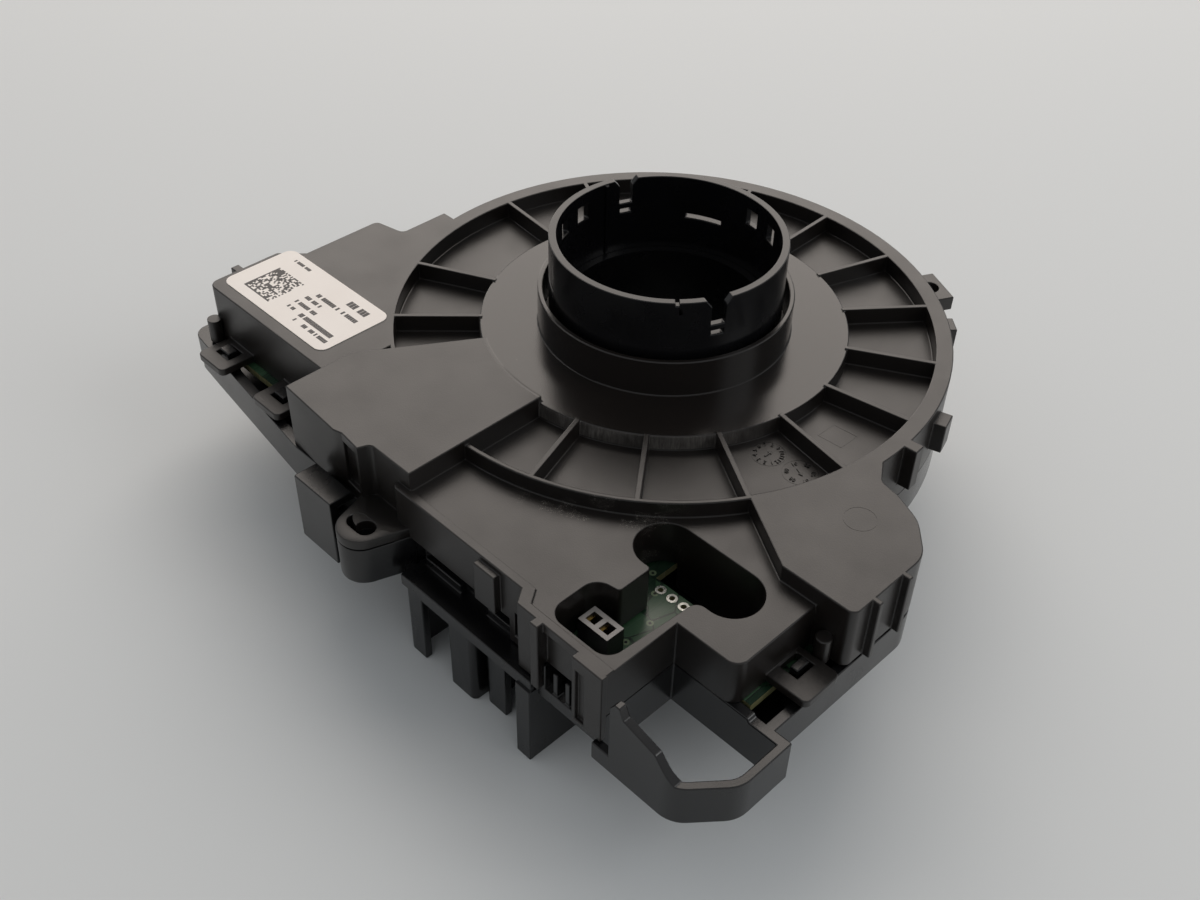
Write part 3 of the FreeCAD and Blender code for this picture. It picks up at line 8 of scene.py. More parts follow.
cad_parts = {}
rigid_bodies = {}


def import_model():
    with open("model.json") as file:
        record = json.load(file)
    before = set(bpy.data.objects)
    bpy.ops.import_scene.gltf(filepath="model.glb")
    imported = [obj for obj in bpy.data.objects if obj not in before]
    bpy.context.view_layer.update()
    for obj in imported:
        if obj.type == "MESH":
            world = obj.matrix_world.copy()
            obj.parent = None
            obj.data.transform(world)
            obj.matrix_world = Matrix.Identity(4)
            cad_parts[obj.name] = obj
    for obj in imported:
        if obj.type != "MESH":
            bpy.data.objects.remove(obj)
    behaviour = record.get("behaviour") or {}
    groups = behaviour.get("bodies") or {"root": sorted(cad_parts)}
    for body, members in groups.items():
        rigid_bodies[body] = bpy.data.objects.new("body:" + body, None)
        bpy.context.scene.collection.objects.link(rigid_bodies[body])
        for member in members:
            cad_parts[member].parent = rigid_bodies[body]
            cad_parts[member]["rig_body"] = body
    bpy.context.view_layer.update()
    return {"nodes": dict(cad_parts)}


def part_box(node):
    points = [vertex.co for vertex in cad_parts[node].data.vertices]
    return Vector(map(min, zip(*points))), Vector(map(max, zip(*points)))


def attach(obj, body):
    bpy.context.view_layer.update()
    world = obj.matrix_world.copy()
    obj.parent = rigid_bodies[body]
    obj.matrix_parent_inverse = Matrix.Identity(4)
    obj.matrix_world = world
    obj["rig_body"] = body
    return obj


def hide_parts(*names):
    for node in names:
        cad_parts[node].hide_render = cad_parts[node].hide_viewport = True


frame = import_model()
nodes = frame["nodes"]
mm = 0.001
scene = bpy.context.scene


def hexColor(text):
    parts = [int(text[i:i + 2], 16) / 255 for i in (1, 3, 5)]
    linear = [c / 12.92 if c <= 0.04045 else ((c + 0.055) / 1.055) ** 2.4 for c in parts]
    return (*linear, 1.0)


def addNode(tree, kind, settings=None, inputs=None):
    node = tree.nodes.new(kind)
    for name, value in (settings or {}).items():
        setattr(node, name, value)
    for name, value in (inputs or {}).items():
        socket = node.inputs[name]
        if isinstance(value, bpy.types.NodeSocket):
            tree.links.new(value, socket)
        else:
            socket.default_value = value
    return node


# Camera: azimuth and elevation in degrees, place in metres, found from the housing's own edges
cameraView = {
    "place": (0.139237, -0.158608, 0.150412),
    "azimuth": 44.4147,
    "elevation": 41.2213,
    "roll": 1.5189,
    "lens": 40.49,
}


def makeCamera(view):
    azimuth, elevation, roll = (math.radians(view[k]) for k in ("azimuth", "elevation", "roll"))
    back = Vector((math.sin(azimuth) * math.cos(elevation), -math.cos(azimuth) * math.cos(elevation),
                   math.sin(elevation)))
    level = Vector((math.cos(azimuth), math.sin(azimuth), 0))
    rise = back.cross(level)
    right = math.cos(roll) * level + math.sin(roll) * rise
    up = math.cos(roll) * rise - math.sin(roll) * level
    camera = bpy.data.objects.new("camera", bpy.data.cameras.new("camera"))
    camera.data.lens = view["lens"]
    camera.data.clip_start = 0.01
    turn = Matrix((right, up, back)).transposed().to_4x4()
    camera.matrix_world = Matrix.Translation(view["place"]) @ turn
    scene.collection.objects.link(camera)
    scene.camera = camera


# Studio: one large soft panel behind the housing, whose reflection gives the flat tops their sheen
studio = {
    "floor": "#dcdfe0",
    "floorSize": 6.0,
    "floorRoughness": 0.85,
    "world": "#f3f5f7",
    "worldStrength": 0.42,
    "backdropStrength": 0.95,
    "panelPlace": (-0.62, 0.62, 0.66),
    "panelSize": 1.15,
    "panelPower": 8.5,
    "panelColor": "#fff4ea",
    "sidePlace": (0.75, 0.35, 0.6),
    "sideSize": 0.5,
    "sidePower": 1.6,
}


def addPanel(name, place, size, power, colour="#ffffff"):
    light = bpy.data.lights.new(name, "AREA")
    light.size = size
    light.energy = power
    light.color = hexColor(colour)[:3]
    panel = bpy.data.objects.new(name, light)
    panel.location = place
    panel.rotation_mode = "QUATERNION"
    panel.rotation_quaternion = (-Vector(place)).to_track_quat("-Z", "Y")
    scene.collection.objects.link(panel)


def makeStudio(choice):
    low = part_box("lower_case")[0].z
    half = choice["floorSize"] / 2
    mesh = bpy.data.meshes.new("floor")
    mesh.from_pydata([(-half, -half, low), (half, -half, low), (half, half, low), (-half, half, low)],
                     [], [(0, 1, 2, 3)])
    floor = bpy.data.objects.new("floor", mesh)
    scene.collection.objects.link(floor)
    material = bpy.data.materials.new("paperFloor")
    material.use_nodes = True
    shader = material.node_tree.nodes["Principled BSDF"]
    shader.inputs["Base Color"].default_value = hexColor(choice["floor"])
    shader.inputs["Roughness"].default_value = choice["floorRoughness"]
    mesh.materials.append(material)
    world = scene.world or bpy.data.worlds.new("studio")
    scene.world = world
    world.use_nodes = True
    tree = world.node_tree
    tree.nodes.clear()
    path = addNode(tree, "ShaderNodeLightPath")
    soft = addNode(tree, "ShaderNodeBackground",
                   inputs={"Color": hexColor(choice["world"]), "Strength": choice["worldStrength"]})
    seen = addNode(tree, "ShaderNodeBackground",
                   inputs={"Color": hexColor(choice["world"]), "Strength": choice["backdropStrength"]})
    both = addNode(tree, "ShaderNodeMixShader",
                   inputs={0: path.outputs["Is Camera Ray"], 1: soft.outputs[0], 2: seen.outputs[0]})
    addNode(tree, "ShaderNodeOutputWorld", inputs={"Surface": both.outputs[0]})
    addPanel("panelBehind", choice["panelPlace"], choice["panelSize"], choice["panelPower"],
             choice["panelColor"])
    addPanel("panelSide", choice["sidePlace"], choice["sideSize"], choice["sidePower"])


makeCamera(cameraView)
makeStudio(studio)
scene.view_settings.view_transform = "Standard"
print("camera and studio ready")


def startMaterial(name):
    material = bpy.data.materials.new(name)
    material.use_nodes = True
    tree = material.node_tree
    tree.nodes.clear()
    shader = addNode(tree, "ShaderNodeBsdfPrincipled")
    addNode(tree, "ShaderNodeOutputMaterial", inputs={"Surface": shader.outputs[0]})
    place = addNode(tree, "ShaderNodeTexCoord").outputs["Object"]
    return material, tree, shader, place


# Pattern scale in Blender is repeats per metre, so a grain of 0.4 mm is 2500
def perMetre(sizeMm):
    return 1 / (sizeMm * mm)


def mixColours(tree, share, first, second):
    node = addNode(tree, "ShaderNodeMix", {"data_type": "RGBA"})
    sockets = {"Factor": node.inputs[0], "A": node.inputs[6], "B": node.inputs[7]}
    for key, value in (("Factor", share), ("A", first), ("B", second)):
        if isinstance(value, bpy.types.NodeSocket):
            tree.links.new(value, sockets[key])
        else:
            sockets[key].default_value = value
    return node.outputs[2]


def calculate(tree, operation, first, second=0.5, third=0.5):
    node = addNode(tree, "ShaderNodeMath", {"operation": operation}, {0: first, 1: second, 2: third})
    return node.outputs[0]


def between(tree, value, low, high, soft):
    up = addNode(tree, "ShaderNodeMapRange", {"interpolation_type": "SMOOTHSTEP"},
                 {"Value": value, "From Min": low - soft, "From Max": low + soft})
    down = addNode(tree, "ShaderNodeMapRange", {"interpolation_type": "SMOOTHSTEP"},
                   {"Value": value, "From Min": high - soft, "From Max": high + soft,
                    "To Min": 1.0, "To Max": 0.0})
    return calculate(tree, "MULTIPLY", up.outputs[0], down.outputs[0])


# Injection moulded plastic: satin grain from the spark eroded tool, faint flow clouds and dust
mouldedHabit = {"patchMm": 9.0, "grainDepthMm": 0.05, "dust": "#a9a49c"}


def mouldedPlastic(name, look):
    material, tree, shader, place = startMaterial(name)
    flow = addNode(tree, "ShaderNodeTexNoise",
                   inputs={"Vector": place, "Scale": perMetre(look["flowMm"]), "Detail": 3.0})
    tone = addNode(tree, "ShaderNodeMapRange",
                   inputs={"Value": flow.outputs[0], "From Min": 0.35, "From Max": 0.65})
    colour = mixColours(tree, tone.outputs[0], hexColor(look["dark"]), hexColor(look["light"]))
    grain = addNode(tree, "ShaderNodeTexNoise",
                    inputs={"Vector": place, "Scale": perMetre(look["grainMm"]), "Detail": 2.0})
    patch = addNode(tree, "ShaderNodeTexNoise",
                    inputs={"Vector": place, "Scale": perMetre(mouldedHabit["patchMm"]), "Detail": 4.0})
    rough = addNode(tree, "ShaderNodeMapRange",
                    inputs={"Value": patch.outputs[0], "From Min": 0.3, "From Max": 0.7,
                            "To Min": look["roughness"] - look["roughSpread"],
                            "To Max": look["roughness"] + look["roughSpread"]})
    specks = addNode(tree, "ShaderNodeTexVoronoi",
                     inputs={"Vector": place, "Scale": perMetre(look["dustEveryMm"])})
    chosen = addNode(tree, "ShaderNodeSeparateColor", inputs={0: specks.outputs["Color"]})
    reach = calculate(tree, "MULTIPLY", chosen.outputs[1], look["dustMm"] / look["dustEveryMm"])
    isSpeck = calculate(tree, "LESS_THAN", specks.outputs["Distance"], reach)
    kept = calculate(tree, "GREATER_THAN", chosen.outputs[0], look["dustSpare"])
    dust = calculate(tree, "MULTIPLY", isSpeck, kept)
    gloss = rough.outputs[0]
    if "zones" in look:
        colour, gloss, dust = look["zones"](tree, place, colour, gloss, dust)
    dusty = mixColours(tree, dust, colour, hexColor(mouldedHabit["dust"]))
    bump = addNode(tree, "ShaderNodeBump",
                   inputs={"Strength": look["grainStrength"], "Distance": mouldedHabit["grainDepthMm"] * mm,
                           "Height": grain.outputs[0]})
    tree.links.new(dusty, shader.inputs["Base Color"])
    tree.links.new(gloss, shader.inputs["Roughness"])
    tree.links.new(bump.outputs[0], shader.inputs["Normal"])
    shader.inputs["IOR"].default_value = look["ior"]
    return material


# The cover's collar and plateau come from a polished part of the tool; the step round them is scuffed
coverZones = {
    "plateauRadius": 35.1,
    "glossRoughness": 0.16,
    "glossLevels": (-0.25, -0.05),
    "scuff": "#77736f",
    "scuffRoughness": 0.25,
    "scuffStreakMm": 0.35,
    "scuffStretch": 0.12,
    "scuffPatchMm": 5.0,
    "scuffReach": (-0.5, 0.15),
    "scuffLevels": (-2.9, -0.12),
    "scuffTurn": (-165, -20),
    "hairRadius": 53.6,
    "hairWidth": 1.6,
    "hairLoopMm": 1.1,
    "hairTurn": (-72, -44),
}


def coverFinish(tree, place, colour, rough, dust):
    zone = coverZones
    axes = addNode(tree, "ShaderNodeSeparateXYZ", inputs={0: place})
    flat = addNode(tree, "ShaderNodeCombineXYZ", inputs={0: axes.outputs[0], 1: axes.outputs[1]})
    radius = addNode(tree, "ShaderNodeVectorMath", {"operation": "LENGTH"}, {0: flat.outputs[0]})
    reach = radius.outputs["Value"]
    level = axes.outputs[2]
    inner = between(tree, reach, -1.0, zone["plateauRadius"] * mm, 0.05 * mm)
    above = addNode(tree, "ShaderNodeMapRange",
                    inputs={"Value": level, "From Min": zone["glossLevels"][0] * mm,
                            "From Max": zone["glossLevels"][1] * mm})
    polished = calculate(tree, "MULTIPLY", inner, above.outputs[0])
    roughMix = addNode(tree, "ShaderNodeMix", {"data_type": "FLOAT"},
                       {0: polished, 2: rough, 3: zone["glossRoughness"]})
    angle = calculate(tree, "ARCTAN2", axes.outputs[1], axes.outputs[0])
    arc = calculate(tree, "MULTIPLY", angle, zone["plateauRadius"] * mm)
    across = calculate(tree, "MULTIPLY", level, zone["scuffStretch"])
    streakPlace = addNode(tree, "ShaderNodeCombineXYZ", inputs={0: arc, 1: across})
    streaks = addNode(tree, "ShaderNodeTexNoise",
                      inputs={"Vector": streakPlace.outputs[0], "Scale": perMetre(zone["scuffStreakMm"]),
                              "Detail": 4.0, "Roughness": 0.7})
    patches = addNode(tree, "ShaderNodeTexNoise",
                      inputs={"Vector": place, "Scale": perMetre(zone["scuffPatchMm"]), "Detail": 3.0})
    streaky = addNode(tree, "ShaderNodeMapRange",
                      inputs={"Value": streaks.outputs[0], "From Min": 0.35, "From Max": 0.75,
                              "To Min": 0.25})
    patchy = addNode(tree, "ShaderNodeMapRange",
                     inputs={"Value": patches.outputs[0], "From Min": 0.3, "From Max": 0.6,
                             "To Min": 0.35})
    nearer, farther = ((zone["plateauRadius"] + step) * mm for step in zone["scuffReach"])
    band = between(tree, reach, nearer, farther, 0.04 * mm)
    heights = between(tree, level, *(height * mm for height in zone["scuffLevels"]), 0.1 * mm)
    front = between(tree, angle, *(math.radians(turn) for turn in zone["scuffTurn"]), 0.25)
    scuff = calculate(tree, "MULTIPLY", calculate(tree, "MULTIPLY", band, heights), front)
    scuff = calculate(tree, "MULTIPLY", scuff, streaky.outputs[0])
    scuff = calculate(tree, "MULTIPLY", scuff, patchy.outputs[0])
    colour = mixColours(tree, scuff, colour, hexColor(zone["scuff"]))
    dulled = calculate(tree, "MULTIPLY", scuff, zone["scuffRoughness"])
    roughSum = calculate(tree, "ADD", roughMix.outputs[0], dulled)
    hairs = addNode(tree, "ShaderNodeTexNoise",
                    inputs={"Vector": place, "Scale": perMetre(zone["hairLoopMm"]), "Detail": 2.0,
                            "Distortion": 2.5})
    thin = between(tree, hairs.outputs[0], 0.495, 0.505, 0.003)
    ring = between(tree, reach, (zone["hairRadius"] - zone["hairWidth"]) * mm,
                   (zone["hairRadius"] + zone["hairWidth"]) * mm, 0.6 * mm)
    side = between(tree, angle, *(math.radians(turn) for turn in zone["hairTurn"]), 0.08)
    lines = calculate(tree, "MULTIPLY", calculate(tree, "MULTIPLY", thin, ring), side)
    lines = calculate(tree, "MULTIPLY", lines, calculate(tree, "GREATER_THAN", patches.outputs[0], 0.5))
    return colour, roughSum, calculate(tree, "MAXIMUM", dust, lines)


coverLook = {
    "dark": "#161311", "light": "#1b1715", "flowMm": 35.0,
    "grainMm": 0.22, "grainStrength": 0.35,
    "roughness": 0.34, "roughSpread": 0.05,
    "dustEveryMm": 4.5, "dustMm": 0.16, "dustSpare": 0.62,
    "ior": 1.55, "zones": coverFinish,
}
caseLook = {
    "dark": "#0b0b0c", "light": "#101011", "flowMm": 28.0,
    "grainMm": 0.22, "grainStrength": 0.25,
    "roughness": 0.24, "roughSpread": 0.05,
    "dustEveryMm": 7.0, "dustMm": 0.12, "dustSpare": 0.8,
    "ior": 1.55,
}
rotorLook = {
    "dark": "#0a0a0c", "light": "#0e0e10", "flowMm": 20.0,
    "grainMm": 0.3, "grainStrength": 0.12,
    "roughness": 0.26, "roughSpread": 0.04,
    "dustEveryMm": 6.0, "dustMm": 0.14, "dustSpare": 0.75,
    "ior": 1.5,
}
gearLook = {
    "dark": "#dcd8cb", "light": "#e6e2d6", "flowMm": 9.0,
    "grainMm": 0.15, "grainStrength": 0.08,
    "roughness": 0.3, "roughSpread": 0.04,
    "dustEveryMm": 8.0, "dustMm": 0.08, "dustSpare": 0.9,
    "ior": 1.48,
}


# Chip packages: matt moulded epoxy with glass grains, on tinned leads at the board's face
def chipEpoxy(name, look):
    material, tree, shader, place = startMaterial(name)
    grain = addNode(tree, "ShaderNodeTexNoise",
                    inputs={"Vector": place, "Scale": perMetre(look["grainMm"]), "Detail": 3.0})
    colour = mixColours(tree, grain.outputs[0], hexColor(look["dark"]), hexColor(look["light"]))
    level = addNode(tree, "ShaderNodeSeparateXYZ", inputs={0: place}).outputs[2]
    lead = between(tree, level, (look["boardFace"] - look["leadTall"]) * mm,
                   (look["boardFace"] + look["leadTall"]) * mm, 0.01 * mm)
    both = mixColours(tree, lead, colour, hexColor(look["tin"]))
    rough = addNode(tree, "ShaderNodeMix", {"data_type": "FLOAT"},
                    {0: lead, 2: look["roughness"], 3: look["tinRoughness"]})
    bump = addNode(tree, "ShaderNodeBump",
                   inputs={"Strength": look["grainStrength"], "Distance": look["grainDepthMm"] * mm,
                           "Height": grain.outputs[0]})
    tree.links.new(both, shader.inputs["Base Color"])
    tree.links.new(rough.outputs[0], shader.inputs["Roughness"])
    tree.links.new(lead, shader.inputs["Metallic"])
    tree.links.new(bump.outputs[0], shader.inputs["Normal"])
    return material


# Plated and drawn metal: fine lines along the way it was drawn or stamped, and dull spots of oxide
drawnDepthMm = 0.02


def workedMetal(name, look):
    material, tree, shader, place = startMaterial(name)
    drawn = addNode(tree, "ShaderNodeMapping", inputs={"Vector": place, "Scale": look["stretch"]})
    lines = addNode(tree, "ShaderNodeTexNoise",
                    inputs={"Vector": drawn.outputs[0], "Scale": perMetre(look["lineMm"]), "Detail": 3.0})
    spots = addNode(tree, "ShaderNodeTexNoise",
                    inputs={"Vector": place, "Scale": perMetre(look["spotMm"]), "Detail": 4.0,
                            "Roughness": 0.65})
    dull = addNode(tree, "ShaderNodeMapRange",
                   inputs={"Value": spots.outputs[0], "From Min": 0.45, "From Max": 0.7})
    colour = mixColours(tree, dull.outputs[0], hexColor(look["bright"]), hexColor(look["dull"]))
    rough = addNode(tree, "ShaderNodeMapRange",
                    inputs={"Value": lines.outputs[0], "From Min": 0.3, "From Max": 0.7,
                            "To Min": look["roughness"] - look["roughSpread"],
                            "To Max": look["roughness"] + look["roughSpread"]})
    total = calculate(tree, "MULTIPLY_ADD", dull.outputs[0], look["dullRough"], rough.outputs[0])
    bump = addNode(tree, "ShaderNodeBump",
                   inputs={"Strength": look["strength"], "Distance": drawnDepthMm * mm,
                           "Height": lines.outputs[0]})
    tree.links.new(colour, shader.inputs["Base Color"])
    tree.links.new(total, shader.inputs["Roughness"])
    tree.links.new(bump.outputs[0], shader.inputs["Normal"])
    shader.inputs["Metallic"].default_value = 1.0
    return material


# Solder mask: green lacquer over copper; the lacquer is lighter where copper lies below it
maskLook = {
    # The hole colour is painted shade: a dark disc for the inside of each via's hole
    "bare": "#1c3323", "overCopper": "#35523a", "gap": "#172a1d", "viaHoleShade": "#0b120d",
    "pourMm": 5.5, "gapMm": 0.12, "copperShare": 0.45,
    "weaveMm": 0.7, "roughness": 0.24,
    "vias": ((44.8, -49.8), (37.5, -41.5), (44.9, -55.4), (47.6, -52.2), (40.9, -44.6)),
    "viaMm": 0.62, "viaHoleMm": 0.26, "viaRing": "#6f7f62",
    "edge": "#7d7a58", "edgeHalf": 0.72, "topFace": -12.0, "thick": 1.6,
    "weaveStrength": 0.12, "weaveDepthMm": 0.03, "roughSpread": 0.08,
    "copperStrength": 0.4, "copperDepthMm": 0.04,
}
# The wave texture turns 20 radians over one unit of its scale
waveTurn = 20


def solderMask(name, look):
    material, tree, shader, place = startMaterial(name)
    pours = addNode(tree, "ShaderNodeTexVoronoi", {"distance": "CHEBYCHEV"},
                    {"Vector": place, "Scale": perMetre(look["pourMm"]), "Randomness": 0.8})
    chosen = addNode(tree, "ShaderNodeSeparateColor", inputs={0: pours.outputs["Color"]})
    copper = calculate(tree, "GREATER_THAN", chosen.outputs[0], look["copperShare"])
    edges = addNode(tree, "ShaderNodeTexVoronoi", {"feature": "DISTANCE_TO_EDGE"},
                    {"Vector": place, "Scale": perMetre(look["pourMm"]), "Randomness": 0.8})
    isGap = calculate(tree, "LESS_THAN", edges.outputs["Distance"], look["gapMm"] / look["pourMm"])
    colour = mixColours(tree, copper, hexColor(look["bare"]), hexColor(look["overCopper"]))
    colour = mixColours(tree, isGap, colour, hexColor(look["gap"]))
    weave = addNode(tree, "ShaderNodeTexWave", {"bands_direction": "X"},
                    {"Vector": place, "Scale": perMetre(look["weaveMm"]) / waveTurn, "Distortion": 0.6})
    axes = addNode(tree, "ShaderNodeSeparateXYZ", inputs={0: place})
    flat = addNode(tree, "ShaderNodeCombineXYZ", inputs={0: axes.outputs[0], 1: axes.outputs[1]})
    # Each via: a pale ring, and a dark disc of painted shade where its hole would be
    for x, y in look["vias"]:
        away = addNode(tree, "ShaderNodeVectorMath", {"operation": "DISTANCE"},
                       {0: flat.outputs[0], 1: (x * mm, y * mm, 0)}).outputs["Value"]
        ring = calculate(tree, "LESS_THAN", away, look["viaMm"] * mm)
        viaHoleShade = calculate(tree, "LESS_THAN", away, look["viaHoleMm"] * mm)
        colour = mixColours(tree, ring, colour, hexColor(look["viaRing"]))
        colour = mixColours(tree, viaHoleShade, colour, hexColor(look["viaHoleShade"]))
    middle = (look["topFace"] - look["thick"] / 2) * mm
    edgeHalf = look["edgeHalf"] * mm
    side = between(tree, axes.outputs[2], middle - edgeHalf, middle + edgeHalf, 0.02 * mm)
    colour = mixColours(tree, side, colour, hexColor(look["edge"]))
    bump = addNode(tree, "ShaderNodeBump",
                   inputs={"Strength": look["weaveStrength"], "Distance": look["weaveDepthMm"] * mm,
                           "Height": weave.outputs["Fac"]})
    raised = addNode(tree, "ShaderNodeBump",
                     inputs={"Strength": look["copperStrength"], "Distance": look["copperDepthMm"] * mm,
                             "Height": copper, "Normal": bump.outputs[0]})
    rough = addNode(tree, "ShaderNodeMapRange",
                    inputs={"Value": weave.outputs["Fac"], "To Min": look["roughness"],
                            "To Max": look["roughness"] + look["roughSpread"]})
    tree.links.new(colour, shader.inputs["Base Color"])
    tree.links.new(rough.outputs[0], shader.inputs["Roughness"])
    tree.links.new(raised.outputs[0], shader.inputs["Normal"])
    return material


# Label film: white polyester with a satin varnish, a little uneven in tone and gloss
def labelFilm(name, look):
    material, tree, shader, place = startMaterial(name)
    fibres = addNode(tree, "ShaderNodeTexNoise",
                     inputs={"Vector": place, "Scale": perMetre(look["grainMm"]), "Detail": 2.0})
    clouds = addNode(tree, "ShaderNodeTexNoise",
                     inputs={"Vector": place, "Scale": perMetre(look["cloudMm"]), "Detail": 3.0})
    colour = mixColours(tree, clouds.outputs[0], hexColor(look["light"]), hexColor(look["dark"]))
    rough = addNode(tree, "ShaderNodeMapRange",
                    inputs={"Value": clouds.outputs[0], "To Min": look["roughness"] - look["roughSpread"],
                            "To Max": look["roughness"] + look["roughSpread"]})
    bump = addNode(tree, "ShaderNodeBump",
                   inputs={"Strength": look["grainStrength"], "Distance": look["grainDepthMm"] * mm,
                           "Height": fibres.outputs[0]})
    tree.links.new(colour, shader.inputs["Base Color"])
    tree.links.new(rough.outputs[0], shader.inputs["Roughness"])
    tree.links.new(bump.outputs[0], shader.inputs["Normal"])
    return material


# Ceramic capacitors: tan fired body between two tinned ends
def ceramicChip(name, look):
    material, tree, shader, place = startMaterial(name)
    grain = addNode(tree, "ShaderNodeTexNoise",
                    inputs={"Vector": place, "Scale": perMetre(look["grainMm"]), "Detail": 2.0})
    colour = mixColours(tree, grain.outputs[0], hexColor(look["dark"]), hexColor(look["light"]))
    along = addNode(tree, "ShaderNodeSeparateXYZ", inputs={0: place}).outputs[1]
    body = between(tree, along, look["bodyFrom"], look["bodyTo"], 0.02 * mm)
    end = calculate(tree, "SUBTRACT", 1.0, body)
    both = mixColours(tree, end, colour, hexColor(look["tin"]))
    tree.links.new(both, shader.inputs["Base Color"])
    tree.links.new(end, shader.inputs["Metallic"])
    shader.inputs["Roughness"].default_value = look["roughness"]
    return material


# Painted highlight: the socket's top face and the 0.05 mm below it are painted pale, as if lit from above;
# its sides stay dark
def socketFinish(tree, place, colour, rough, dust):
    level = addNode(tree, "ShaderNodeSeparateXYZ", inputs={0: place}).outputs[2]
    litTop = between(tree, level, socketTop - socketHighlight["tall"] * mm, 1.0, 0.02 * mm)
    return mixColours(tree, litTop, colour, hexColor(socketHighlight["colour"])), rough, dust


# The pale colour on the socket's top is a painted highlight
socketHighlight = {"colour": "#8c8885", "tall": 0.05}
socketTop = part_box("receptacle")[1].z
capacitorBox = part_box("board_capacitors")
tinnedEnd = 0.75 * mm
socketLook = {
    "dark": "#1b1a1b", "light": "#242223", "flowMm": 8.0,
    "grainMm": 0.2, "grainStrength": 0.15,
    "roughness": 0.36, "roughSpread": 0.05,
    "dustEveryMm": 5.0, "dustMm": 0.08, "dustSpare": 0.9,
    "ior": 1.53, "zones": socketFinish,
}
# Painted shade: the numbers are darker than the grained floor, for the small relief's shading; they are a
# little smoother too
reliefShadeLook = {
    "dark": "#0b0a0a", "light": "#0f0e0d", "flowMm": 5.0,
    "grainMm": 0.2, "grainStrength": 0.05,
    "roughness": 0.3, "roughSpread": 0.03,
    "dustEveryMm": 9.0, "dustMm": 0.05, "dustSpare": 0.95,
    "ior": 1.45,
}
epoxyLook = {
    "dark": "#161618", "light": "#222224", "roughness": 0.55,
    "grainMm": 0.18, "grainStrength": 0.25, "grainDepthMm": 0.03,
    "boardFace": -12.0, "leadTall": 0.25, "tin": "#c6c8cb", "tinRoughness": 0.32,
}
ceramicLook = {
    "dark": "#937a5c", "light": "#a88f6e", "grainMm": 0.15, "roughness": 0.42, "tin": "#c6c8cb",
    "bodyFrom": capacitorBox[0].y + tinnedEnd, "bodyTo": capacitorBox[1].y - tinnedEnd,
}
filmLook = {
    "light": "#f5efe9", "dark": "#eee6df", "cloudMm": 9.0, "roughness": 0.42, "roughSpread": 0.06,
    "grainMm": 0.25, "grainStrength": 0.1, "grainDepthMm": 0.02,
}
inkLook = {
    "dark": "#3a3838", "light": "#454242", "flowMm": 3.0,
    "grainMm": 0.12, "grainStrength": 0.1,
    "roughness": 0.5, "roughSpread": 0.05,
    "dustEveryMm": 9.0, "dustMm": 0.05, "dustSpare": 0.95,
    "ior": 1.45,
}
ferriteLook = {
    "bright": "#4a4b4e", "dull": "#38393b", "stretch": (1, 1, 1), "lineMm": 0.2, "spotMm": 1.2,
    "roughness": 0.5, "roughSpread": 0.06, "dullRough": 0.12, "strength": 0.3,
}
clipLook = {
    "bright": "#b6b3af", "dull": "#8d8985", "stretch": (1, 1, 6), "lineMm": 0.25, "spotMm": 4.0,
    "roughness": 0.3, "roughSpread": 0.08, "dullRough": 0.15, "strength": 0.2,
}
goldLook = {
    "bright": "#dcb766", "dull": "#b8924a", "stretch": (1, 1, 0.2), "lineMm": 0.15, "spotMm": 1.0,
    "roughness": 0.24, "roughSpread": 0.05, "dullRough": 0.12, "strength": 0.15,
}
solderLook = {
    "bright": "#d9dad4", "dull": "#a9aaa2", "stretch": (1, 1, 1), "lineMm": 0.3, "spotMm": 0.6,
    "roughness": 0.3, "roughSpread": 0.08, "dullRough": 0.2, "strength": 0.3,
}
tinLook = {
    "bright": "#cfd1d3", "dull": "#b0b2b4", "stretch": (1, 1, 0.1), "lineMm": 0.15, "spotMm": 1.5,
    "roughness": 0.26, "roughSpread": 0.06, "dullRough": 0.12, "strength": 0.2,
}
zincLook = {
    "bright": "#c3c6c9", "dull": "#989a9c", "stretch": (1, 1, 1), "lineMm": 0.3, "spotMm": 1.8,
    "roughness": 0.34, "roughSpread": 0.07, "dullRough": 0.2, "strength": 0.25,
}

materials = {
    "glassFilledPolyesterCover": mouldedPlastic("glassFilledPolyesterCover", coverLook),
    "glassFilledPolyesterCase": mouldedPlastic("glassFilledPolyesterCase", caseLook),
    "acetalRotor": mouldedPlastic("acetalRotor", rotorLook),
    "acetalGear": mouldedPlastic("acetalGear", gearLook),
    "polyamideSocket": mouldedPlastic("polyamideSocket", socketLook),
    "reliefPaintedShade": mouldedPlastic("reliefPaintedShade", reliefShadeLook),
    "labelInk": mouldedPlastic("labelInk", inkLook),
    "labelFilm": labelFilm("labelFilm", filmLook),
    "greenSolderMask": solderMask("greenSolderMask", maskLook),
    "chipEpoxy": chipEpoxy("chipEpoxy", epoxyLook),
    "firedCeramic": ceramicChip("firedCeramic", ceramicLook),
    "sinteredFerrite": workedMetal("sinteredFerrite", ferriteLook),
    "springSteel": workedMetal("springSteel", clipLook),
    "platedGold": workedMetal("platedGold", goldLook),
    "tinSolder": workedMetal("tinSolder", solderLook),
    "drawnTin": workedMetal("drawnTin", tinLook),
    "zincPlate": workedMetal("zincPlate", zincLook),
}
print("materials ready")


# Edges: every moulded corner has a small radius, which draws the thin bright lines
edgeChoice = {
    "width": 0.2,
    "segments": 2,
    "sharpFrom": 28.0,
    "roomShare": 0.4,
    "crossFrom": 0.5,
    "leastShare": 0.15,
    "bendLimit": 35.0,
    "weldMm": 0.002,
    "flatWithin": 0.4,
    "strayShare": 0.6,
}


# Room beside an edge: how far the edges that cross it reach away from it, or a metre where none does
def edgeRoom(edge, choice):
    room = 1.0
    along = (edge.verts[1].co - edge.verts[0].co).normalized()
    for corner in edge.verts:
        for other in corner.link_edges:
            if other is edge:
                continue
            side = other.verts[1].co - other.verts[0].co
            across = side.cross(along).length
            if side.length > 0 and across / side.length > choice["crossFrom"]:
                room = min(room, across)
    return room


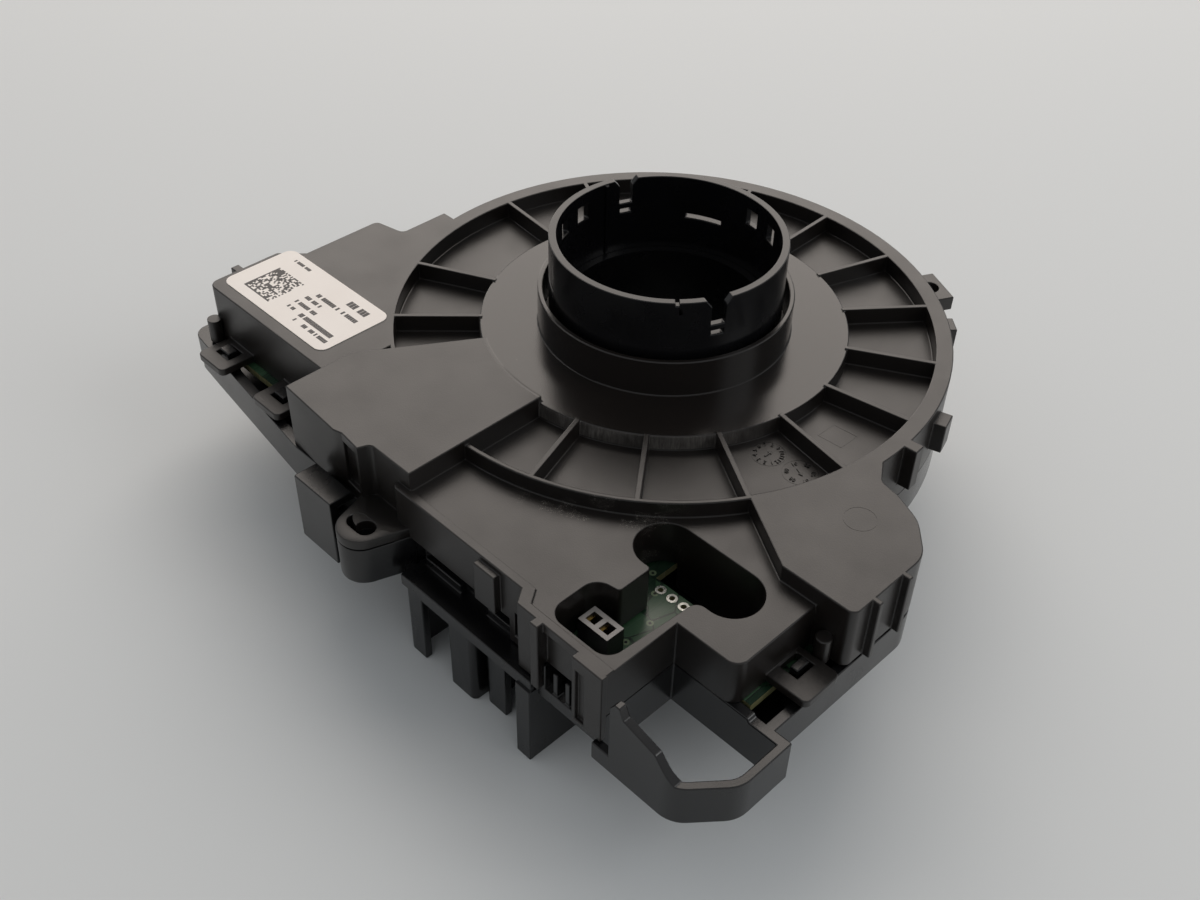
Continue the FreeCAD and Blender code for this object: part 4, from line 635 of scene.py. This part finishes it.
# Along a smooth run of edges the radius stays one size, the smallest that the run has room for
def levelRuns(shape, weights, choice):
    straightOn = -math.cos(math.radians(choice["bendLimit"]))
    waiting = {edge for edge in shape.edges if edge[weights] > 0}
    while waiting:
        run = [waiting.pop()]
        for edge in run:
            for corner in edge.verts:
                ahead = (edge.other_vert(corner).co - corner.co).normalized()
                for other in corner.link_edges:
                    back = (other.other_vert(corner).co - corner.co).normalized()
                    if other in waiting and ahead.dot(back) < straightOn:
                        waiting.discard(other)
                        run.append(other)
        least = min(edge[weights] for edge in run)
        for edge in run:
            edge[weights] = least if least > choice["leastShare"] else 0.0


def roundedCopy(nodeName, pieceName, material, choice):
    mesh = nodes[nodeName].data.copy()
    mesh.materials.clear()
    piece = bpy.data.objects.new(pieceName, mesh)
    scene.collection.objects.link(piece)
    shape = bmesh.new()
    shape.from_mesh(mesh)
    source = BVHTree.FromBMesh(shape)
    bmesh.ops.remove_doubles(shape, verts=shape.verts, dist=choice["weldMm"] * mm)
    bmesh.ops.dissolve_limit(shape, angle_limit=math.radians(choice["flatWithin"]),
                             verts=shape.verts, edges=shape.edges, use_dissolve_boundaries=False)
    bmesh.ops.triangulate(shape, faces=[face for face in shape.faces if len(face.verts) > 4],
                          quad_method="BEAUTY", ngon_method="BEAUTY")
    width = choice["width"] * mm
    sharp = math.radians(choice["sharpFrom"])
    weights = shape.edges.layers.float.new("bevel_weight_edge")
    turned = {edge for edge in shape.edges if len(edge.link_faces) == 2 and edge.calc_face_angle(0) > sharp}
    for edge in turned:
        edge[weights] = min(1.0, choice["roomShare"] * edgeRoom(edge, choice) / width)
    levelRuns(shape, weights, choice)
    for face in shape.faces:
        # Only a face with a soft bend to a neighbour belongs to a curved wall
        face.smooth = any(edge not in turned and edge.calc_face_angle(0) > math.radians(choice["flatWithin"])
                          for edge in face.edges if len(edge.link_faces) == 2)
    for edge in turned:
        edge.smooth = False
    shape.to_mesh(mesh)
    shape.free()
    # The second slot marks the bevel's own faces, which are then shaded flat
    for _ in range(2):
        mesh.materials.append(material)
    bevel = piece.modifiers.new("edges", "BEVEL")
    bevel.limit_method = "WEIGHT"
    bevel.width = width
    bevel.segments = choice["segments"]
    bevel.use_clamp_overlap = False
    bevel.material = 1
    bevel.loop_slide = False
    ready = bpy.data.meshes.new_from_object(piece.evaluated_get(bpy.context.evaluated_depsgraph_get()))
    piece.modifiers.clear()
    piece.data = ready
    for face in ready.polygons:
        if face.material_index == 1:
            face.use_smooth = False
    for corner in ready.vertices:
        nearest, _, _, away = source.find_nearest(corner.co)
        if away > choice["strayShare"] * width:
            corner.co = nearest
    ready.materials.clear()
    ready.materials.append(material)
    ready.polygons.foreach_set("material_index", [0] * len(ready.polygons))
    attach(piece, nodes[nodeName]["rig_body"])
    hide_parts(nodeName)
    return piece


def dress(material, *names):
    for name in names:
        mesh = nodes[name].data
        mesh.materials.clear()
        mesh.materials.append(materials[material])


cover = roundedCopy("upper_cover", "coverShell", materials["glassFilledPolyesterCover"], edgeChoice)
case = roundedCopy("lower_case", "caseShell", materials["glassFilledPolyesterCase"], edgeChoice)
tube = roundedCopy("rotor_tube", "rotorTubeShell", materials["acetalRotor"], edgeChoice)
print("housing shells ready", len(cover.data.polygons), len(case.data.polygons), len(tube.data.polygons))

dress("acetalRotor", "drive_hub")
dress("acetalGear", "measuring_gear_a", "measuring_gear_b")
dress("polyamideSocket", "receptacle")
dress("labelFilm", "paper_label")
dress("greenSolderMask", "circuit_board")
dress("chipEpoxy", "angle_chip_gear_a", "angle_chip_gear_b", "controller_chip", "bus_driver_chip",
      "voltage_regulator")
dress("firedCeramic", "board_capacitors")
dress("sinteredFerrite", "magnet_gear_a", "magnet_gear_b")
dress("springSteel", "retaining_clip")
dress("platedGold", "receptacle_contacts")
dress("tinSolder", "plated_rings")
dress("drawnTin", "plug_pins_a", "plug_pins_b")
dress("zincPlate", "board_screws")
print("inner pieces dressed")


# Label print: blocks of cells set by one tree, a square code and rows that stand for the small print
labelPrint = {
    "inkMm": 0.012,
    "inset": 0.9,
    "barMm": 0.35,
    "code": {"low": (-62.6, -52.0), "size": (7.8, 8.0), "cells": (22, 22), "filled": 0.52, "seed": 11},
    "rows": (
        {"low": (-44.8, -42.2), "size": (6.6, 1.7), "cells": (8, 1), "filled": 0.85, "seed": 2},
        {"low": (-50.8, -44.7), "size": (13.5, 1.1), "cells": (24, 1), "filled": 0.85, "seed": 3},
        {"low": (-51.2, -46.6), "size": (4.7, 1.0), "cells": (9, 1), "filled": 0.75, "seed": 4},
        {"low": (-51.5, -48.7), "size": (6.4, 1.0), "cells": (12, 1), "filled": 0.8, "seed": 5},
        {"low": (-51.3, -50.6), "size": (2.1, 0.9), "cells": (4, 1), "filled": 0.9, "seed": 6},
        {"low": (-47.3, -50.9), "size": (10.1, 1.2), "cells": (26, 1), "filled": 0.95, "seed": 7},
        {"low": (-47.2, -52.5), "size": (10.6, 1.0), "cells": (24, 1), "filled": 0.7, "seed": 8},
        {"low": (-63.0, -40.7), "size": (5.1, 0.8), "cells": (12, 1), "filled": 0.7, "seed": 9},
    ),
}


def printTree():
    tree = bpy.data.node_groups.new("printedCells", "GeometryNodeTree")
    face = tree.interface
    for name, kind in (("Low", "NodeSocketVector"), ("Width", "NodeSocketFloat"),
                       ("Depth", "NodeSocketFloat"), ("Ink Height", "NodeSocketFloat"),
                       ("Columns", "NodeSocketInt"), ("Rows", "NodeSocketInt"),
                       ("Filled", "NodeSocketFloat"), ("Inset", "NodeSocketFloat"),
                       ("Seed", "NodeSocketInt"), ("Ink", "NodeSocketMaterial")):
        face.new_socket(name=name, in_out="INPUT", socket_type=kind)
    face.new_socket(name="Geometry", in_out="OUTPUT", socket_type="NodeSocketGeometry")
    given = addNode(tree, "NodeGroupInput").outputs
    cellWide = calculate(tree, "DIVIDE", given["Width"], given["Columns"])
    cellDeep = calculate(tree, "DIVIDE", given["Depth"], given["Rows"])
    points = addNode(tree, "GeometryNodeMeshGrid",
                     inputs={"Size X": calculate(tree, "SUBTRACT", given["Width"], cellWide),
                             "Size Y": calculate(tree, "SUBTRACT", given["Depth"], cellDeep),
                             "Vertices X": given["Columns"], "Vertices Y": given["Rows"]})
    size = addNode(tree, "ShaderNodeCombineXYZ",
                   inputs={0: calculate(tree, "MULTIPLY", cellWide, given["Inset"]),
                           1: calculate(tree, "MULTIPLY", cellDeep, given["Inset"]),
                           2: given["Ink Height"]})
    cell = addNode(tree, "GeometryNodeMeshCube", inputs={"Size": size.outputs[0]})
    chance = addNode(tree, "FunctionNodeRandomValue", {"data_type": "BOOLEAN"},
                     {"Probability": given["Filled"], "Seed": given["Seed"]})
    placed = addNode(tree, "GeometryNodeInstanceOnPoints",
                     inputs={"Points": points.outputs[0], "Selection": chance.outputs[3],
                             "Instance": cell.outputs[0]})
    half = addNode(tree, "ShaderNodeCombineXYZ",
                   inputs={0: calculate(tree, "MULTIPLY", given["Width"], 0.5),
                           1: calculate(tree, "MULTIPLY", given["Depth"], 0.5)})
    middle = addNode(tree, "ShaderNodeVectorMath", {"operation": "ADD"},
                     {0: given["Low"], 1: half.outputs[0]})
    moved = addNode(tree, "GeometryNodeTransform",
                    inputs={"Geometry": placed.outputs[0], "Translation": middle.outputs[0]})
    real = addNode(tree, "GeometryNodeRealizeInstances", inputs={0: moved.outputs[0]})
    inked = addNode(tree, "GeometryNodeSetMaterial",
                    inputs={"Geometry": real.outputs[0], "Material": given["Ink"]})
    addNode(tree, "NodeGroupOutput", inputs={"Geometry": inked.outputs[0]})
    return tree


def meshFromTree(tree, values):
    holder = bpy.data.objects.new("holder", bpy.data.meshes.new("holder"))
    modifier = holder.modifiers.new("cells", "NODES")
    modifier.node_group = tree
    for item in tree.interface.items_tree:
        if item.in_out == "INPUT":
            modifier[item.identifier] = values[item.name]
    scene.collection.objects.link(holder)
    mesh = bpy.data.meshes.new_from_object(holder.evaluated_get(bpy.context.evaluated_depsgraph_get()))
    holder.modifiers.clear()
    bpy.data.objects.remove(holder)
    return mesh


def joined(meshes):
    shape = bmesh.new()
    for mesh in meshes:
        shape.from_mesh(mesh)
    whole = bpy.data.meshes.new("joined")
    shape.to_mesh(whole)
    shape.free()
    return whole


def addPiece(name, mesh, material, body):
    mesh.materials.clear()
    mesh.materials.append(material)
    piece = bpy.data.objects.new(name, mesh)
    scene.collection.objects.link(piece)
    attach(piece, body)
    return piece


def boxMesh(low, high):
    shape = bmesh.new()
    bmesh.ops.create_cube(shape, size=1.0)
    size = Vector(high) - Vector(low)
    for corner in shape.verts:
        corner.co = Vector(low) + Vector(((corner.co[i] + 0.5) * size[i] for i in range(3)))
    mesh = bpy.data.meshes.new("box")
    shape.to_mesh(mesh)
    shape.free()
    return mesh


def makeLabelPrint(choice):
    tree = printTree()
    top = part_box("paper_label")[1].z
    tall = choice["inkMm"] * mm
    meshes = []
    for part in (choice["code"], *choice["rows"]):
        values = {
            "Low": (part["low"][0] * mm, part["low"][1] * mm, top + tall / 2),
            "Width": part["size"][0] * mm, "Depth": part["size"][1] * mm, "Ink Height": tall,
            "Columns": part["cells"][0], "Rows": part["cells"][1], "Filled": part["filled"],
            "Inset": choice["inset"] if part is not choice["code"] else 1.0,
            "Seed": part["seed"], "Ink": materials["labelInk"],
        }
        meshes.append(meshFromTree(tree, values))
    x, y = (v * mm for v in choice["code"]["low"])
    wide, deep = (v * mm for v in choice["code"]["size"])
    line = choice["barMm"] * mm
    meshes.append(boxMesh((x - line, y - line, top), (x + wide, y, top + tall)))
    meshes.append(boxMesh((x - line, y, top), (x, y + deep, top + tall)))
    addPiece("labelPrint", joined(meshes), materials["labelInk"], nodes["paper_label"]["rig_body"])


makeLabelPrint(labelPrint)
print("label print ready")

# Date dials: raised numbers round an arrow, left by two inserts of the tool in the pocket's floor
pocketFloor = -3.1
dials = {
    "monthDial": {"centre": (37.3, -13.0), "numbers": [str(n) for n in range(1, 13)], "first": -36.0,
                  "reach": 2.35, "arrow": 88.0},
    "yearDial": {"centre": (44.1, -12.8), "numbers": ["05", "06", "07", "08", "09", "10"],
                 "first": 95.0, "reach": 2.2, "arrow": -22.0},
}
dialRelief = {"tall": 0.16, "digit": 1.15, "rimRadius": 3.05, "rimWide": 0.08, "rimTall": 0.03,
              "arrowLong": 1.9, "arrowWide": 0.26, "headWide": 0.9, "headLong": 0.7}


def digitMesh(text, size, tall):
    curve = bpy.data.curves.new("digits", "FONT")
    curve.body = text
    curve.size = size
    curve.extrude = tall / 2
    curve.resolution_u = 2
    curve.align_x = "CENTER"
    curve.align_y = "CENTER"
    holder = bpy.data.objects.new("digits", curve)
    scene.collection.objects.link(holder)
    mesh = bpy.data.meshes.new_from_object(holder.evaluated_get(bpy.context.evaluated_depsgraph_get()))
    bpy.data.objects.remove(holder)
    return mesh


# A closed shape made a mesh: its faces turn outwards, and bends below the limit are shaded smooth
def closedMesh(shape, name, smoothBelow=0):
    bmesh.ops.recalc_face_normals(shape, faces=shape.faces)
    if smoothBelow:
        for line in shape.edges:
            line.smooth = line.calc_face_angle(0) < math.radians(smoothBelow)
    mesh = bpy.data.meshes.new(name)
    shape.to_mesh(mesh)
    shape.free()
    return mesh


def flatPlate(outline, low, high):
    shape = bmesh.new()
    foot = [shape.verts.new((x, y, low)) for x, y in outline]
    top = [shape.verts.new((x, y, high)) for x, y in outline]
    shape.faces.new(top)
    shape.faces.new(list(reversed(foot)))
    for i, corner in enumerate(foot):
        after = (i + 1) % len(foot)
        shape.faces.new((corner, foot[after], top[after], top[i]))
    return closedMesh(shape, "plate")


def ringOf(shape, centre, reaches, level):
    step = 2 * math.pi / len(reaches)
    return [shape.verts.new((centre[0] + reach * math.cos(step * i),
                             centre[1] + reach * math.sin(step * i), level))
            for i, reach in enumerate(reaches)]


# Faces from each ring to the next, and from the last one back to the first
def closeRings(shape, rings):
    for here, there in zip(rings, rings[1:] + rings[:1]):
        for i, corner in enumerate(here):
            after = (i + 1) % len(here)
            shape.faces.new((corner, there[i], there[after], here[after]))


# A closed thin hoop: the witness line of a round insert
def hoopMesh(centre, radius, wide, low, high, count=48):
    shape = bmesh.new()
    section = ((radius, low), (radius, high), (radius + wide, high), (radius + wide, low))
    closeRings(shape, [ringOf(shape, centre, [reach] * count, level) for reach, level in section])
    return closedMesh(shape, "hoop")


def makeDial(name, choice, relief, floor):
    foot = floor * mm
    top = foot + relief["tall"] * mm
    centre = Vector((choice["centre"][0] * mm, choice["centre"][1] * mm, (foot + top) / 2))
    meshes = []
    step = 360 / len(choice["numbers"])
    for i, text in enumerate(choice["numbers"]):
        digits = digitMesh(text, relief["digit"] * mm, relief["tall"] * mm)
        turn = Matrix.Rotation(math.radians(choice["first"] - i * step - 90), 4, "Z")
        digits.transform(Matrix.Translation(centre) @ turn
                         @ Matrix.Translation((0, choice["reach"] * mm, 0)))
        meshes.append(digits)
    long, wide = relief["arrowLong"] * mm, relief["arrowWide"] * mm / 2
    headLong, headWide = relief["headLong"] * mm, relief["headWide"] * mm / 2
    neck = long / 2 - headLong
    outline = [(-long / 2, -wide), (neck, -wide), (neck, -headWide), (long / 2, 0), (neck, headWide),
               (neck, wide), (-long / 2, wide)]
    turn = Matrix.Rotation(math.radians(choice["arrow"]), 2)
    placed = [turn @ Vector(point) + centre.xy for point in outline]
    meshes.append(flatPlate(placed, foot, top))
    meshes.append(hoopMesh(centre.xy, relief["rimRadius"] * mm, relief["rimWide"] * mm, foot,
                           foot + relief["rimTall"] * mm))
    # The numbers' dark colour is painted shade
    return addPiece(name, joined(meshes), materials["reliefPaintedShade"], nodes["upper_cover"]["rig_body"])


for name, choice in dials.items():
    makeDial(name, choice, dialRelief, pocketFloor)
print("date dials ready")

# Witness lines of ejectors and inserts: fine raised lines on the flats. A ring is x, y, level and radius
witness = {
    "tall": 0.03,
    "wide": 0.09,
    "rings": ((59.9, -17.6, 0.3, 2.7),),
    "corner": ((40.1, -2.8), (40.25, 1.5), (45.0, 1.9), (44.9, -2.5)),
    "cornerFloor": pocketFloor,
}


def makeWitness(choice):
    meshes = [hoopMesh((x * mm, y * mm), r * mm, choice["wide"] * mm, z * mm, (z + choice["tall"]) * mm)
              for x, y, z, r in choice["rings"]]
    corners = [Vector(c) * mm for c in choice["corner"]]
    half = choice["wide"] * mm / 2
    low = choice["cornerFloor"] * mm
    for start, end in zip(corners, corners[1:] + corners[:1]):
        along = (end - start).normalized() * half
        side = Vector((-along.y, along.x))
        outline = [start - along - side, end + along - side, end + along + side, start - along + side]
        meshes.append(flatPlate(outline, low, low + choice["tall"] * mm))
    return addPiece("witnessLines", joined(meshes), materials["glassFilledPolyesterCover"],
                    nodes["upper_cover"]["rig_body"])


makeWitness(witness)
print("witness lines ready")

# The ear at the front: a plate on a deeper block, with a round nose and one slotted hole through both
ear = {
    "centre": (-3.0, -70.5),
    "radius": 4.4,
    "roots": ((-9.8, -62.6), (4.4, -62.6)),
    "backLimit": -64.2,
    "backFrom": 0.3,
    "backSpread": 0.72,
    "holeHalf": (2.95, 1.75),
    "edge": 0.25,
    "edgeBend": 0.3,
    "smoothBelow": 30,
    "parts": {
        "coverEar": {"levels": (-11.95, -9.94), "material": "glassFilledPolyesterCover",
                     "node": "upper_cover", "slot": "cover_plastic"},
        "caseEar": {"levels": (-20.02, -12.05), "material": "glassFilledPolyesterCase",
                    "node": "lower_case", "slot": "case_plastic"},
    },
    "count": 96,
}


def earReach(choice, angle):
    ahead = Vector((math.cos(angle), math.sin(angle)))
    centre = Vector(choice["centre"])
    reach = choice["radius"]
    for root in choice["roots"]:
        toRoot = Vector(root) - centre
        turn = math.acos(choice["radius"] / toRoot.length)
        lean = math.atan2(toRoot.y, toRoot.x)
        touch = lean - turn if toRoot.x > 0 else lean + turn
        span = (angle - touch + math.pi) % (2 * math.pi) - math.pi
        inward = span if toRoot.x > 0 else -span
        if 0 < inward < turn:
            reach = choice["radius"] / math.cos(inward)
    if ahead.y > choice["backFrom"]:
        limit = (choice["backLimit"] - centre.y) / ahead.y
        straightBack = abs(ahead.x) < choice["backSpread"]
        reach = limit if straightBack else min(reach, limit)
    return reach


def slotReach(choice, angle):
    halfLong, halfWide = choice["holeHalf"]
    straight = halfLong - halfWide
    best = 0.0
    for side in (-straight, straight):
        along = side * math.cos(angle)
        rest = halfWide ** 2 - side ** 2 + along ** 2
        if rest >= 0:
            best = max(best, along + math.sqrt(rest))
    if abs(math.sin(angle)) > 0.01:
        flat = halfWide / abs(math.sin(angle))
        if abs(flat * math.cos(angle)) <= straight:
            best = flat
    return best


def makeEar(name, part, choice):
    low, high = (level * mm for level in part["levels"])
    edge = choice["edge"] * mm
    bend = choice["edgeBend"] * edge
    centre = Vector(choice["centre"]) * mm
    turns = [2 * math.pi * i / choice["count"] for i in range(choice["count"])]
    outer = [earReach(choice, turn) * mm for turn in turns]
    inner = [slotReach(choice, turn) * mm for turn in turns]
    steps = ((inner, edge / 2, high), (outer, -edge, high), (outer, -bend, high - bend),
             (outer, 0.0, high - edge), (outer, 0.0, low + edge), (outer, -edge, low), (inner, 0.0, low),
             (inner, 0.0, high - edge / 2))
    shape = bmesh.new()
    closeRings(shape, [ringOf(shape, centre, [reach + shift for reach in reaches], level)
                       for reaches, shift, level in steps])
    for face in shape.faces:
        face.smooth = True
    mesh = closedMesh(shape, name, choice["smoothBelow"])
    piece = addPiece(name, mesh, materials[part["material"]], nodes[part["node"]]["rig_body"])


for name, part in ear["parts"].items():
    makeEar(name, part, ear)
print("ear ready")

# The tube's wall is closed at its front, where only the notch and its sill break the rim.
# A place is its turn in degrees, then its width, foot and top in mm
closedWall = {
    "radius": 22.0,
    "proud": 0.012,
    "deep": 1.3,
    "count": 14,
    "smoothBelow": 30,
    "places": ((-55.0, 3.5, 12.5, 16.1), (-37.5, 3.5, 12.5, 16.1), (-7.0, 8.0, 9.5, 10.8)),
}


def makeClosedWall(choice):
    shape = bmesh.new()
    outside = (choice["radius"] + choice["proud"]) * mm
    inside = (choice["radius"] - choice["deep"]) * mm
    for turn, wide, low, high in choice["places"]:
        half = wide / choice["radius"] / 2
        section = ((outside, low), (outside, high), (inside, high), (inside, low))
        rows = []
        for i in range(choice["count"] + 1):
            angle = math.radians(turn) - half + 2 * half * i / choice["count"]
            around = Vector((math.cos(angle), math.sin(angle), 0))
            rows.append([shape.verts.new(around * reach + Vector((0, 0, level * mm)))
                         for reach, level in section])
        for here, there in zip(rows, rows[1:]):
            for j in range(4):
                face = shape.faces.new((here[j], here[(j + 1) % 4], there[(j + 1) % 4], there[j]))
                face.smooth = True
        shape.faces.new(rows[0])
        shape.faces.new(list(reversed(rows[-1])))
    mesh = closedMesh(shape, "closedWall", choice["smoothBelow"])
    piece = addPiece("tubeFrontWall", mesh, materials["acetalRotor"], nodes["rotor_tube"]["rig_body"])


makeClosedWall(closedWall)
print("tube front ready")
